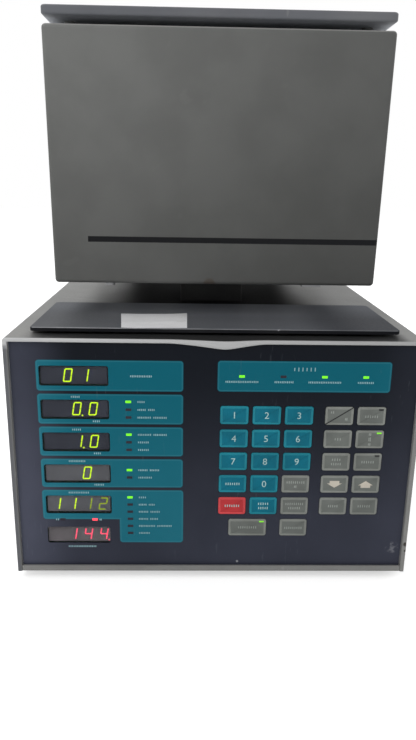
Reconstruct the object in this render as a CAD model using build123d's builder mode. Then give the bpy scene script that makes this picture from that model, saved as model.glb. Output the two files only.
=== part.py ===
from build123d import *
from math import cos, hypot, radians, sin
import os

# Bench-top dental porcelain furnace, in millimetres. +Z is up and the front faces -Y.
# The origin is on the bench, under the middle of the whole outline.
os.makedirs("parts", exist_ok=True)

# Console case
console_width = 320.4
console_height = 197.2
console_depth = 370.0
foot_height = 7.4
case_sheet = 1.2
case_bend = 2.5
top_hem = 3.0
side_hem = 3.7
hem_depth = 3.5
hem_round = 1.1
pan_sheet = 1.5
pan_lip = 5.3
pan_flange = 14.0
fit_gap = 0.3
foot_radius = 10.0
foot_inset = 34.0

# Control panel, measured from the edges of the hemmed opening
overlay_thickness = 0.5
panel_sheet = 1.5
panel_fold = 9.0
window_width = 52.7
window_height = 15.9
window_round = 1.8
window_from_left = 21.65
window_from_top = 18.85
window_web = 11.15
window_count = 5
red_window_width = 50.9
red_window_height = 14.7
red_window_drop = 12.0
pane_margin = 0.7
pane_fit = 0.15
module_width = 50.3
module_height = 13.6
lamp_width = 4.3
lamp_height = 1.9
lamp_fit = 0.1
lamp_pitch = 6.4
lamps_from_window = 14.85
lamp_stacks = ((1, 6.5, 3), (2, 6.5, 3), (3, 3.4, 2), (4, 6.6, 6))
unit_lamps_from_window = (-13.3, 12.6)
unit_lamp_drop = 5.35
status_lamps_from_right = 136.6
status_lamps_from_top = 26.1
status_lamp_pitch = 31.9
status_lamp_count = 4
key_width = 22.0
key_height = 14.9
key_round = 1.8
wide_key_width = 30.7
key_web_x = 3.3
key_web_z = 4.56
keys_from_right = 23.2
keys_from_top = 50.05
key_block_gap = 9.5
wide_key_gap = 11.25
key_proud = 0.4
key_gap = 0.3
key_travel = 0.5
key_rim = 0.8
key_stem_radius = 2.0
board_depth = 10.5
board_sheet = 1.6
switch_side = 6.0
switch_height = 4.3
plunger_radius = 1.75
plunger_height = 0.7

# Work plate, pedestal and firing platform
work_plate_width = 286.0
work_plate_depth = 106.8
work_plate_sheet = 3.0
work_plate_rise = 5.0
work_plate_setback = 15.5
work_plate_round = 4.0
pedestal_side = 60.0
pedestal_wall = 2.0
pedestal_top = 4.0
platform_radius = 75.0
platform_thickness = 6.0
seal_radius = 62.0
seal_section = 4.0
seal_stand = 2.5
seal_gap = 0.2
table_gap = 1.0
table_height = 6.0
plug_step = 5.0
plug_height = 15.0
tray_radius = 29.0
tray_height = 5.0
tray_recess = 1.5
peg_radius = 1.0
peg_height = 9.0

# Head
head_width = 259.6
head_depth = 280.0
head_height = 189.0
head_lean = 8.0
head_setback = 55.5
head_clearance = 33.2
head_bend = 3.0
head_flange = 13.0
lid_gap = 5.6
lid_height = 6.5
lid_round = 1.6
base_plate_thickness = 3.0
muffle_bore = 90.0
muffle_wall = 8.0
muffle_height = 84.0
mouth_clearance = 3.0
insulation_wall = 30.0
insulation_roof = 26.0
chamber_sheet = 2.0
chamber_flange = 12.0
thermocouple_radius = 2.5
thermocouple_reach = 16.0

# Lift
post_radius = 10.0
post_spread = 80.0
post_setback = 109.5
running_gap = 0.05
block_height = 30.0
block_depth = 40.0
bush_wall = 3.0
leg_thickness = 8.0
lift_plate = 6.0
motor_height = 26.0
motor_radius = 29.0
carriage_height = 14.0
carriage_depth = 34.0
carriage_gap = 2.0
screw_radius = 6.0
journal_radius = 4.0

# Rear panel fittings
fan_side = 80.0
fan_depth = 25.0
fan_x = -88.0
fan_z = 120.0
blade_count = 7
inlet_x = 112.0
inlet_z = 62.0
module_depth = 30.0
bezel_width = 32.0
bezel_height = 58.0
bezel_thickness = 2.5
rocker_tilt = 10.0
vacuum_x = 108.0
vacuum_z = 135.0
spigot_radius = 4.0
spigot_length = 15.0
spigot_nut = 4.0

# Places that follow from the sizes above
front_y = -(console_depth + spigot_length) / 2
rear_y = front_y + console_depth
floor_z = foot_height
top_z = foot_height + console_height
under_top_z = top_z - case_sheet
half_width = console_width / 2
inner_half = half_width - case_sheet - fit_gap
panel_y = front_y + hem_depth
panel_back_y = panel_y + panel_sheet
board_y = panel_y + board_depth
panel_left = -half_width + side_hem
panel_right = half_width - side_hem
panel_top = top_z - top_hem
pan_top_z = floor_z + pan_sheet
pan_rear_y = rear_y - case_sheet
head_z = top_z + head_clearance
head_top_z = head_z + head_height
head_front_y = front_y + head_setback
head_rear_y = head_front_y + head_depth
chamber_y = head_front_y + head_depth / 2
plate_z = head_z + case_sheet
plate_top_z = plate_z + base_plate_thickness
platform_top_z = plate_z - seal_gap - seal_stand
platform_z = platform_top_z - platform_thickness
lift_y = chamber_y + post_setback
block_z = under_top_z - block_height
lift_plate_z = pan_top_z + fit_gap + motor_height
carriage_z = lift_plate_z + lift_plate + carriage_gap
carriage_top_z = carriage_z + carriage_height
head_travel = block_z - fit_gap - carriage_top_z
leg_x = post_spread + post_radius + bush_wall + 17.0
muffle_radius = muffle_bore / 2
table_radius = muffle_radius - table_gap
plug_radius = table_radius - plug_step
muffle_outer = muffle_radius + muffle_wall
insulation_radius = muffle_outer + insulation_wall
insulation_top_z = plate_top_z + muffle_height + insulation_roof
chamber_inner = insulation_radius + fit_gap
chamber_outer = chamber_inner + chamber_sheet
chamber_top_z = insulation_top_z + fit_gap + chamber_sheet
work_plate_z = top_z + work_plate_rise - work_plate_sheet
work_plate_y = front_y + work_plate_setback + work_plate_depth / 2

UP = (Align.CENTER, Align.CENTER, Align.MIN)
DOWN = (Align.CENTER, Align.CENTER, Align.MAX)


def facing_front(y):
    """A plane at depth y whose normal points to the front, with x to the right and z up."""
    return Plane.XZ.offset(-y)


def level(z):
    """A horizontal plane at height z."""
    return Plane.XY.offset(z)


def facing(x, y, z, direction):
    """A plane at a point, facing the given direction."""
    return Plane(origin=(x, y, z), z_dir=direction)


def add_screw(seat, head_radius, head_height, shank_radius, length):
    """Adds a cross-recessed pan-head screw whose head sits on the seat plane."""
    with Locations(seat):
        Cylinder(head_radius, head_height, align=UP)
        Cylinder(shank_radius, length, align=DOWN)
    with Locations(seat.offset(head_height)):
        Box(1.2 * head_radius, 0.26 * head_radius, 0.6 * head_height, align=DOWN, mode=Mode.SUBTRACT)
        Box(0.26 * head_radius, 1.2 * head_radius, 0.6 * head_height, align=DOWN, mode=Mode.SUBTRACT)


def add_flush_screw(seat, head_radius, sheet, shank_radius, length):
    """Adds a cross-recessed screw whose conical head fills a sheet, with its face in the seat plane."""
    with Locations(seat):
        Cone(shank_radius, head_radius, sheet, align=DOWN)
        Cylinder(shank_radius, length, align=DOWN)
        Box(1.1 * head_radius, 0.26 * head_radius, 0.8 * sheet, align=DOWN, mode=Mode.SUBTRACT)
        Box(0.26 * head_radius, 1.1 * head_radius, 0.8 * sheet, align=DOWN, mode=Mode.SUBTRACT)


# Fastener places, shared by the screws and by the holes they pass through
screw_radius_m4 = 2.0
hole_radius_m4 = 2.15
screw_radius_m3 = 1.5
hole_radius_m3 = 1.7
flush_head_radius = 2.9
foot_x = half_width - foot_inset
foot_y = console_depth / 2 - foot_inset
console_mid_y = (front_y + rear_y) / 2
foot_spots = [(sx * foot_x, console_mid_y + sy * foot_y) for sx in (-1, 1) for sy in (-1, 1)]
side_screw_z = pan_top_z + pan_flange * 0.55
side_screw_ys = (front_y + 45.0, console_mid_y, rear_y - 45.0)
rear_fold = 12.0
rear_side_screw_zs = (floor_z + console_height * 0.4, floor_z + console_height * 0.88)
rear_screw_xs = (-0.8 * half_width, -0.35 * half_width, 0.35 * half_width, 0.8 * half_width)
plate_spots = [(sx * work_plate_width * 0.42, work_plate_y + sy * work_plate_depth * 0.36)
               for sx in (-1, 1) for sy in (-1, 1)]
pedestal_boss = pedestal_side / 2 - 8.0
pedestal_spots = [(sx * pedestal_boss, chamber_y + sy * pedestal_boss) for sx in (-1, 1) for sy in (-1, 1)]
platform_spot = pedestal_boss - 9.0
platform_spots = [(sx * platform_spot, chamber_y + sy * platform_spot) for sx in (-1, 1) for sy in (-1, 1)]
leg_foot = 16.0
leg_foot_x = leg_x + leg_thickness + leg_foot / 2
leg_spots = [(sx * leg_foot_x, lift_y + sy * 12.0) for sx in (-1, 1) for sy in (-1, 1)]
fan_hole = fan_side / 2 - 4.5
fan_spots = [(fan_x + sx * fan_hole, fan_z + sy * fan_hole) for sx in (-1, 1) for sy in (-1, 1)]
head_screw_x = head_width / 2 - 43.8
head_screw_y = head_depth / 2 - 7.5
head_screw_spots = [(sx * head_screw_x, chamber_y + sy * head_screw_y) for sx in (-1, 1) for sy in (-1, 1)]
head_screw_spots.remove((head_screw_x, chamber_y - head_screw_y))

# Panel places, shared by the overlay, the steel panel, the board and what shows through them
window_x = panel_left + window_from_left + window_width / 2
window_zs = [panel_top - window_from_top - window_height / 2 - (window_height + window_web) * i
             for i in range(window_count)]
last_window_bottom = window_zs[-1] - window_height / 2
red_window_z = last_window_bottom - red_window_drop - red_window_height / 2
windows = [(window_x, z, window_width, window_height) for z in window_zs]
windows.append((window_x - 0.7, red_window_z, red_window_width, red_window_height))

lamp_spots = []
for window_index, lamp_rise, stack_count in lamp_stacks:
    for i in range(stack_count):
        lamp_spots.append((window_x + window_width / 2 + lamps_from_window,
                           window_zs[window_index] + lamp_rise - lamp_pitch * i))
for dx in unit_lamps_from_window:
    lamp_spots.append((window_x + dx, last_window_bottom - unit_lamp_drop))
for i in range(status_lamp_count):
    lamp_spots.append((panel_right - status_lamps_from_right + status_lamp_pitch * i,
                       panel_top - status_lamps_from_top))

key_pitch_x = key_width + key_web_x
last_side_x = panel_right - keys_from_right - key_width / 2
side_xs = [last_side_x - key_pitch_x, last_side_x]
last_number_x = side_xs[0] - key_width - key_block_gap
number_xs = [last_number_x - key_pitch_x * (2 - i) for i in range(3)]
row_zs = [panel_top - keys_from_top - key_height / 2 - (key_height + key_web_z) * i for i in range(6)]
wide_key_x = last_number_x - key_width / 2 - wide_key_gap - wide_key_width / 2
number_names = (("key_1", "key_2", "key_3"), ("key_4", "key_5", "key_6"), ("key_7", "key_8", "key_9"),
                ("key_enter", "key_0", "key_program"), ("key_cancel", "key_lamp_test", "key_program_input"))
side_names = (("key_units", "key_night"), ("key_calibrate", "key_mode"), ("key_time_left", "key_purge"),
              ("key_down", "key_up"), ("key_hold", "key_start"))
keys = []
for names, z in zip(number_names, row_zs):
    for name, x in zip(names, number_xs):
        keys.append((name, x, z, key_width))
for names, z in zip(side_names, row_zs):
    for name, x in zip(names, side_xs):
        keys.append((name, x, z, key_width))
keys.append(("key_on_off", wide_key_x, row_zs[5], wide_key_width))
keys.append(("key_override", last_number_x, row_zs[5], key_width))

# Bottom pan: a folded tray whose low front lip shows under the control panel
lip_half = half_width - side_hem - fit_gap
pan_front_y = panel_y + fit_gap
flange_front_y = panel_back_y + fit_gap
flange_length = pan_rear_y - flange_front_y
with BuildPart() as bottom_pan:
    with BuildSketch(level(floor_z)):
        with Locations((0, (pan_front_y + pan_rear_y) / 2)):
            Rectangle(2 * inner_half, pan_rear_y - pan_front_y)
        with Locations((0, (front_y + pan_front_y) / 2)):
            Rectangle(2 * lip_half, pan_front_y - front_y)
    extrude(amount=pan_sheet)
    with BuildSketch(facing_front(front_y)):
        with Locations((0, floor_z + pan_lip / 2)):
            Rectangle(2 * lip_half, pan_lip)
    extrude(amount=-pan_sheet)
    lip_corner = bottom_pan.edges().filter_by(Axis.X).group_by(Axis.Y)[0].sort_by(Axis.Z)[0]
    fillet(lip_corner, 0.8 * pan_sheet)
    with BuildSketch(level(pan_top_z)):
        with Locations((inner_half - pan_sheet / 2, flange_front_y + flange_length / 2),
                       (pan_sheet / 2 - inner_half, flange_front_y + flange_length / 2)):
            Rectangle(pan_sheet, flange_length)
        with Locations((0, pan_rear_y - pan_sheet / 2)):
            Rectangle(2 * inner_half, pan_sheet)
    extrude(amount=pan_flange)
    with Locations(level(pan_top_z)):
        with Locations(*foot_spots, *leg_spots):
            Hole(hole_radius_m4, depth=pan_sheet)
    for side in (-1, 1):
        with Locations(*[facing(side * inner_half, y, side_screw_z, (side, 0, 0)) for y in side_screw_ys]):
            Hole(hole_radius_m3, depth=pan_sheet)
    with Locations(*[facing(x, pan_rear_y, side_screw_z, (0, 1, 0)) for x in rear_screw_xs]):
        Hole(hole_radius_m3, depth=pan_sheet)
    with BuildSketch(level(floor_z)):
        with Locations((0, front_y + 0.3 * console_depth)):
            with GridLocations(9.0, 34.0, 9, 2):
                SlotOverall(26.0, 4.0, rotation=90)
    extrude(amount=pan_sheet, mode=Mode.SUBTRACT)
bottom_pan.part.label = "bottom_pan"
export_step(bottom_pan.part, "parts/bottom_pan.step")

# Console case: one sheet folded over the top and both sides, with a rolled hem round its front
inner_bend = case_bend - case_sheet
post_hole_radius = post_radius + 2.5
side_vent_z = floor_z + 0.35 * console_height
with BuildPart() as console_case:
    with BuildSketch(facing_front(front_y)) as case_outline:
        with Locations((0, floor_z + console_height / 2)):
            Rectangle(console_width, console_height)
        fillet(case_outline.vertices().group_by(Axis.Y)[-1], case_bend)
        with Locations((0, under_top_z)):
            RectangleRounded(console_width - 2 * case_sheet, 3 * console_height, inner_bend,
                             align=(Align.CENTER, Align.MAX), mode=Mode.SUBTRACT)
    extrude(amount=-console_depth)
    with BuildSketch(facing_front(front_y)) as hem_outline:
        with Locations((0, floor_z + console_height / 2)):
            Rectangle(console_width, console_height)
        fillet(hem_outline.vertices().group_by(Axis.Y)[-1], case_bend)
        with Locations((0, panel_top)):
            Rectangle(console_width - 2 * side_hem, console_height,
                      align=(Align.CENTER, Align.MAX), mode=Mode.SUBTRACT)
    extrude(amount=-hem_depth)
    rim_edges = console_case.faces().sort_by(Axis.Y)[0].edges()
    fillet(rim_edges.filter_by(lambda edge: edge.center().Z > floor_z + 1.0), hem_round)
    with Locations(level(top_z)):
        with Locations((-post_spread, lift_y), (post_spread, lift_y)):
            Hole(post_hole_radius, depth=case_sheet)
        with Locations(*plate_spots, *pedestal_spots):
            Hole(hole_radius_m4, depth=case_sheet)
    for side in (-1, 1):
        side_seats = [facing(side * half_width, y, side_screw_z, (side, 0, 0)) for y in side_screw_ys]
        side_seats += [facing(side * half_width, rear_y - rear_fold * 0.6, z, (side, 0, 0))
                       for z in rear_side_screw_zs]
        with Locations(*side_seats):
            Cone(hole_radius_m3, flush_head_radius + 0.1, case_sheet, align=DOWN, mode=Mode.SUBTRACT)
        with BuildSketch(Plane.YZ.offset(side * half_width)):
            with Locations((rear_y - 0.26 * console_depth, side_vent_z)):
                with GridLocations(9.0, 40.0, 10, 2):
                    SlotOverall(30.0, 3.5, rotation=90)
        extrude(amount=-side * case_sheet, mode=Mode.SUBTRACT)
console_case.part.label = "console_case"
export_step(console_case.part, "parts/console_case.step")

# Rear panel: a flat sheet with two side folds, pierced for the fan, the inlet and the vacuum spigot
rear_height = under_top_z - fit_gap - floor_z
rear_fold_z = pan_top_z + pan_flange + 2.0
rear_fold_height = under_top_z - case_bend - rear_fold_z
grille_hole = 2.6
grille_pitch = 6.8
grille_radius = fan_side / 2 - 4.0
grille_spots = []
for row in range(-7, 8):
    for column in range(-7, 8):
        spot_x = (column + 0.5 * (row % 2)) * grille_pitch
        spot_z = row * grille_pitch * 0.87
        if hypot(spot_x, spot_z) < grille_radius - grille_hole:
            grille_spots.append((fan_x + spot_x, fan_z + spot_z))
with BuildPart() as rear_panel:
    with BuildSketch(facing_front(rear_y)) as rear_outline:
        with Locations((0, floor_z + rear_height / 2)):
            Rectangle(2 * inner_half, rear_height)
        fillet(rear_outline.vertices().group_by(Axis.Y)[-1], case_bend)
        with Locations((inlet_x, inlet_z)):
            Rectangle(bezel_width - 4.0, bezel_height - 10.0, mode=Mode.SUBTRACT)
        with Locations((vacuum_x, vacuum_z)):
            Circle(spigot_radius + 1.0, mode=Mode.SUBTRACT)
        with Locations(*grille_spots):
            RegularPolygon(grille_hole, 6, mode=Mode.SUBTRACT)
        with Locations(*fan_spots):
            Circle(hole_radius_m4, mode=Mode.SUBTRACT)
        with Locations(*[(x, side_screw_z) for x in rear_screw_xs]):
            Circle(hole_radius_m3, mode=Mode.SUBTRACT)
        with Locations((0.1 * console_width, floor_z + 0.6 * console_height)):
            with GridLocations(9.0, 0, 7, 1):
                SlotOverall(46.0, 3.5, rotation=90, mode=Mode.SUBTRACT)
    extrude(amount=case_sheet)
    with BuildSketch(level(rear_fold_z)):
        with Locations((inner_half - case_sheet / 2, pan_rear_y - rear_fold / 2),
                       (case_sheet / 2 - inner_half, pan_rear_y - rear_fold / 2)):
            Rectangle(case_sheet, rear_fold)
    extrude(amount=rear_fold_height)
    for side in (-1, 1):
        with Locations(*[facing(side * inner_half, rear_y - rear_fold * 0.6, z, (side, 0, 0))
                         for z in rear_side_screw_zs]):
            Hole(hole_radius_m3, depth=case_sheet)
rear_panel.part.label = "rear_panel"
export_step(rear_panel.part, "parts/rear_panel.step")

# Front panel: a steel sheet behind the film, folded back along its top and bottom
panel_bottom_z = pan_top_z + fit_gap
panel_sheet_top_z = under_top_z - fit_gap
fold_half = inner_half - pan_sheet - 2 * fit_gap
with BuildPart() as front_panel:
    with BuildSketch(facing_front(panel_back_y)) as panel_outline:
        with Locations((0, (panel_bottom_z + panel_sheet_top_z) / 2)):
            Rectangle(2 * inner_half, panel_sheet_top_z - panel_bottom_z)
        fillet(panel_outline.vertices().group_by(Axis.Y)[-1], case_bend)
        for x, z, width, height in windows:
            with Locations((x, z)):
                Rectangle(width + 2 * (pane_margin + pane_fit), height + 2 * (pane_margin + pane_fit),
                          mode=Mode.SUBTRACT)
        with Locations(*lamp_spots):
            Rectangle(lamp_width + 4 * lamp_fit, lamp_height + 4 * lamp_fit, mode=Mode.SUBTRACT)
        for name, x, z, width in keys:
            with Locations((x, z)):
                RectangleRounded(width + 2 * key_gap, key_height + 2 * key_gap, key_round + key_gap,
                                 mode=Mode.SUBTRACT)
    extrude(amount=panel_sheet)
    with BuildSketch(facing_front(panel_back_y)):
        with Locations((0, panel_bottom_z + panel_sheet / 2), (0, panel_sheet_top_z - panel_sheet / 2)):
            Rectangle(2 * fold_half, panel_sheet)
    extrude(amount=-panel_fold)
front_panel.part.label = "front_panel"
export_step(front_panel.part, "parts/front_panel.step")

# Control panel film: a thin printed sheet inside the hem, cut out for the displays, lamps and keys
overlay_gap = 0.4
overlay_bottom_z = pan_top_z + 0.6
overlay_top_z = panel_top - overlay_gap
with BuildPart() as panel_overlay:
    with BuildSketch(facing_front(panel_y)):
        with Locations((0, (overlay_bottom_z + overlay_top_z) / 2)):
            Rectangle(panel_right - panel_left - 2 * overlay_gap, overlay_top_z - overlay_bottom_z)
        for x, z, width, height in windows:
            with Locations((x, z)):
                RectangleRounded(width, height, window_round, mode=Mode.SUBTRACT)
        with Locations(*lamp_spots):
            Rectangle(lamp_width + 2 * lamp_fit, lamp_height + 2 * lamp_fit, mode=Mode.SUBTRACT)
        for name, x, z, width in keys:
            with Locations((x, z)):
                RectangleRounded(width + 2 * key_gap, key_height + 2 * key_gap, key_round + key_gap,
                                 mode=Mode.SUBTRACT)
    extrude(amount=overlay_thickness)
panel_overlay.part.label = "panel_overlay"
export_step(panel_overlay.part, "parts/panel_overlay.step")

# Displays and lamps: tinted panes over seven-segment modules, and flat lamps that end flush with the film
with BuildPart() as led_displays:
    with BuildSketch(facing_front(panel_y)):
        for x, z, width, height in windows:
            with Locations((x, z)):
                Rectangle(width + 2 * pane_margin, height + 2 * pane_margin)
    extrude(amount=-(panel_sheet - 0.1))
    with BuildSketch(facing_front(panel_back_y)):
        for x, z, width, height in windows:
            with Locations((x, z)):
                Rectangle(module_width, module_height)
    extrude(amount=-(board_y - panel_back_y))
    with BuildSketch(facing_front(panel_y - overlay_thickness)):
        with Locations(*lamp_spots):
            Rectangle(lamp_width, lamp_height)
    extrude(amount=-(board_y - panel_y + overlay_thickness))
led_displays.part.label = "led_displays"
export_step(led_displays.part, "parts/led_displays.step")

# Keys: a cap in its opening, a rim that holds it behind the steel, and a stem over its switch
cap_face_y = panel_y - overlay_thickness - key_proud
rim_y = panel_back_y + 0.15
rim_thickness = 0.8
stem_end_y = board_y - switch_height - plunger_height - key_travel - 0.1
rim_growth = 2 * (key_gap + key_rim)
for name, x, z, width in keys:
    with BuildPart() as key:
        with BuildSketch(facing_front(cap_face_y)):
            with Locations((x, z)):
                RectangleRounded(width, key_height, key_round)
        extrude(amount=-(rim_y - cap_face_y))
        fillet(key.faces().sort_by(Axis.Y)[0].edges(), 0.25)
        with BuildSketch(facing_front(rim_y)):
            with Locations((x, z)):
                RectangleRounded(width + rim_growth, key_height + rim_growth, key_round)
        extrude(amount=-rim_thickness)
        with BuildSketch(facing_front(rim_y + rim_thickness)):
            with Locations((x, z)):
                Circle(key_stem_radius)
        extrude(amount=-(stem_end_y - rim_y - rim_thickness))
    key.part.label = name
    export_step(key.part, f"parts/{name}.step")

# Circuit boards: the display board with a switch under each key, and the control board on the pan
board_half = panel_right - 5.0
board_bottom_z = panel_bottom_z + panel_sheet + 3.0
board_top_z = panel_sheet_top_z - panel_sheet - 3.0
board_back_y = board_y + board_sheet
standoff_radius = 3.0
standoff_x = board_half - 4.5
standoff_zs = (board_bottom_z + 6.0, (board_bottom_z + board_top_z) / 2, board_top_z - 6.0)
control_width = 128.0
control_depth = 118.0
control_x = 0.22 * console_width
control_y = console_mid_y
control_z = pan_top_z + 8.0
control_top_z = control_z + board_sheet
sink_base = 4.0
sink_x = control_x - 40.0
sink_width = 34.0
sink_depth = 84.0
fin_pitch = 5.0
fin_sheet = 1.8
fin_height = 26.0
tall_part_height = 16.0
chip_width = 20.0
chip_depth = 7.5
connector_width = 52.0
connector_depth = 9.0
low_part_height = 5.0
with BuildPart() as circuit_boards:
    with BuildSketch(facing_front(board_y)):
        with Locations((0, (board_bottom_z + board_top_z) / 2)):
            Rectangle(2 * board_half, board_top_z - board_bottom_z)
    extrude(amount=-board_sheet)
    with BuildSketch(facing_front(board_y)):
        with Locations(*[(x, z) for name, x, z, width in keys]):
            Rectangle(switch_side, switch_side)
    extrude(amount=switch_height)
    with BuildSketch(facing_front(board_y - switch_height)):
        with Locations(*[(x, z) for name, x, z, width in keys]):
            Circle(plunger_radius)
    extrude(amount=plunger_height)
    with BuildSketch(facing_front(board_y)):
        with Locations(*[(sx * standoff_x, z) for sx in (-1, 1) for z in standoff_zs]):
            Circle(standoff_radius)
    extrude(amount=board_depth - panel_sheet)
    with BuildSketch(facing_front(board_back_y)):
        with Locations((0, board_top_z - 40.0)):
            with GridLocations(34.0, 22.0, 7, 2):
                Rectangle(chip_width, chip_depth)
        with Locations((window_x, board_bottom_z + 18.0), (-window_x * 0.5, board_bottom_z + 18.0)):
            Rectangle(connector_width, connector_depth)
    extrude(amount=-low_part_height)
    with BuildSketch(level(control_z)):
        with Locations((control_x, control_y)):
            Rectangle(control_width, control_depth)
    extrude(amount=board_sheet)
    with BuildSketch(level(pan_top_z)):
        with Locations((control_x, control_y)):
            with GridLocations(control_width - 12.0, control_depth - 12.0, 2, 2):
                Circle(standoff_radius)
    extrude(amount=control_z - pan_top_z)
    with BuildSketch(level(control_top_z)):
        with Locations((sink_x, control_y)):
            Rectangle(sink_width, sink_depth)
    extrude(amount=sink_base)
    with BuildSketch(level(control_top_z + sink_base)):
        with Locations((sink_x, control_y)):
            with GridLocations(fin_pitch, 0, 6, 1):
                Rectangle(fin_sheet, sink_depth)
    extrude(amount=fin_height)
    with BuildSketch(level(control_top_z)):
        with Locations((control_x + 4.0, control_y + 30.0)):
            with GridLocations(20.0, 0, 2, 1):
                Circle(8.0)
        with Locations((control_x + 44.0, control_y + 28.0)):
            with GridLocations(0, 34.0, 1, 2):
                Rectangle(28.0, 15.0)
        with Locations((control_x + 14.0, control_y - 24.0)):
            with GridLocations(26.0, 24.0, 2, 2):
                Rectangle(18.0, 10.0)
    extrude(amount=tall_part_height)
circuit_boards.part.label = "circuit_boards"
export_step(circuit_boards.part, "parts/circuit_boards.step")

# Transformer: a laminated core on a foot plate, with its coil round the middle limb
core_width = 86.0
core_depth = 34.0
core_height = 72.0
limb_half = 14.0
core_window_width = 14.5
core_window_height = 46.0
coil_wall = 13.0
coil_gap = 0.4
foot_plate = 3.0
transformer_x = -0.25 * console_width
transformer_y = console_mid_y
core_mid_z = pan_top_z + foot_plate + core_height / 2
with BuildPart() as transformer:
    with BuildSketch(facing_front(transformer_y - core_depth / 2)):
        with Locations((transformer_x, core_mid_z)):
            Rectangle(core_width, core_height)
            with GridLocations(2 * limb_half + core_window_width, 0, 2, 1):
                Rectangle(core_window_width, core_window_height, mode=Mode.SUBTRACT)
    extrude(amount=-core_depth)
    with BuildSketch(level(pan_top_z)):
        with Locations((transformer_x, transformer_y)):
            Rectangle(core_width + 24.0, core_depth)
    extrude(amount=foot_plate)
    with BuildSketch(level(core_mid_z - core_window_height / 2 + coil_gap)):
        with Locations((transformer_x, transformer_y)):
            RectangleRounded(2 * (limb_half + coil_wall), core_depth + 2 * coil_wall, 5.0)
            Rectangle(2 * (limb_half + coil_gap), core_depth + 2 * coil_gap, mode=Mode.SUBTRACT)
    extrude(amount=core_window_height - 2 * coil_gap)
transformer.part.label = "transformer"
export_step(transformer.part, "parts/transformer.step")

# Power inlet module: a moulded body behind a bezel, with a three-pin recess under a rocker well
inlet_drop = 13.5
inlet_recess_width = 24.4
inlet_recess_height = 16.6
inlet_recess_depth = 17.0
pin_width = 2.0
pin_height = 4.0
pin_length = 13.0
pin_spots = ((-7.0, -1.5), (0.0, 2.0), (7.0, -1.5))
rocker_rise = 12.5
rocker_width = 13.0
rocker_half = 9.0
well_width = 13.8
well_height = 20.4
well_depth = 11.0
pivot_radius = 1.2
pivot_y = rear_y - 1.0
with BuildPart() as power_entry_module:
    with BuildSketch(facing_front(rear_y)):
        with Locations((inlet_x, inlet_z)):
            Rectangle(bezel_width - 4.6, bezel_height - 10.6)
    extrude(amount=module_depth)
    with BuildSketch(facing_front(rear_y)):
        with Locations((inlet_x, inlet_z)):
            RectangleRounded(bezel_width, bezel_height, 2.0)
    extrude(amount=-bezel_thickness)
    bezel_y = rear_y + bezel_thickness
    with BuildSketch(facing_front(bezel_y)):
        with Locations((inlet_x, inlet_z - inlet_drop)):
            RectangleRounded(inlet_recess_width, inlet_recess_height, 2.0)
    extrude(amount=inlet_recess_depth, mode=Mode.SUBTRACT)
    with BuildSketch(facing_front(bezel_y - inlet_recess_depth)):
        with Locations(*[(inlet_x + x, inlet_z - inlet_drop + z) for x, z in pin_spots]):
            Rectangle(pin_width, pin_height)
    extrude(amount=-pin_length)
    with BuildSketch(facing_front(bezel_y)):
        with Locations((inlet_x, inlet_z + rocker_rise)):
            Rectangle(well_width, well_height)
    extrude(amount=well_depth, mode=Mode.SUBTRACT)
    with Locations(facing(inlet_x, pivot_y, inlet_z + rocker_rise, (1, 0, 0))):
        Cylinder(pivot_radius + running_gap, well_width + 2.4, mode=Mode.SUBTRACT)
power_entry_module.part.label = "power_entry_module"
export_step(power_entry_module.part, "parts/power_entry_module.step")

# Mains rocker: a shallow V-faced lever on a cross pin, with its upper ON side pressed in
rocker_back = 3.0
rocker_back_half = 6.5
rocker_edge = 3.2
rocker_ridge = 4.2
rocker_valley = 2.4
rocker_round = 0.4
rocker_plane = Plane(origin=(inlet_x, pivot_y, inlet_z + rocker_rise), z_dir=(1, 0, 0),
                     x_dir=(0, cos(radians(rocker_tilt)), sin(radians(rocker_tilt))))
with BuildPart() as power_rocker:
    with BuildSketch(rocker_plane):
        with BuildLine():
            Polyline((-rocker_back, -rocker_back_half), (rocker_edge, -rocker_half),
                     (rocker_ridge, -rocker_half + rocker_round), (rocker_valley, 0),
                     (rocker_ridge, rocker_half - rocker_round), (rocker_edge, rocker_half),
                     (-rocker_back, rocker_back_half), close=True)
        make_face()
    extrude(amount=rocker_width / 2, both=True)
    with Locations(rocker_plane):
        Cylinder(pivot_radius, well_width + 1.8)
power_rocker.part.label = "power_rocker"
export_step(power_rocker.part, "parts/power_rocker.step")

# Vacuum port: a solenoid valve inside the rear panel, with its hose spigot and nut outside
valve_width = 30.0
valve_depth = 34.0
valve_height = 36.0
with BuildPart() as vacuum_port:
    with BuildSketch(facing_front(pan_rear_y)):
        with Locations((vacuum_x, vacuum_z)):
            RectangleRounded(valve_width, valve_height, 3.0)
    extrude(amount=valve_depth)
    with BuildSketch(level(vacuum_z + valve_height / 2)):
        with Locations((vacuum_x, pan_rear_y - valve_depth / 2)):
            Circle(9.0)
    extrude(amount=14.0)
    with BuildSketch(facing_front(pan_rear_y)):
        with Locations((vacuum_x, vacuum_z)):
            Circle(spigot_radius)
    extrude(amount=-(case_sheet + spigot_length))
    with BuildSketch(facing_front(rear_y)):
        with Locations((vacuum_x, vacuum_z)):
            RegularPolygon(spigot_radius + 4.0, 6)
    extrude(amount=-spigot_nut)
    with Locations(facing(vacuum_x, rear_y + spigot_length, vacuum_z, (0, 1, 0))):
        Hole(0.62 * spigot_radius, depth=spigot_length + valve_depth / 2)
vacuum_port.part.label = "vacuum_port"
export_step(vacuum_port.part, "parts/vacuum_port.step")

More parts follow.
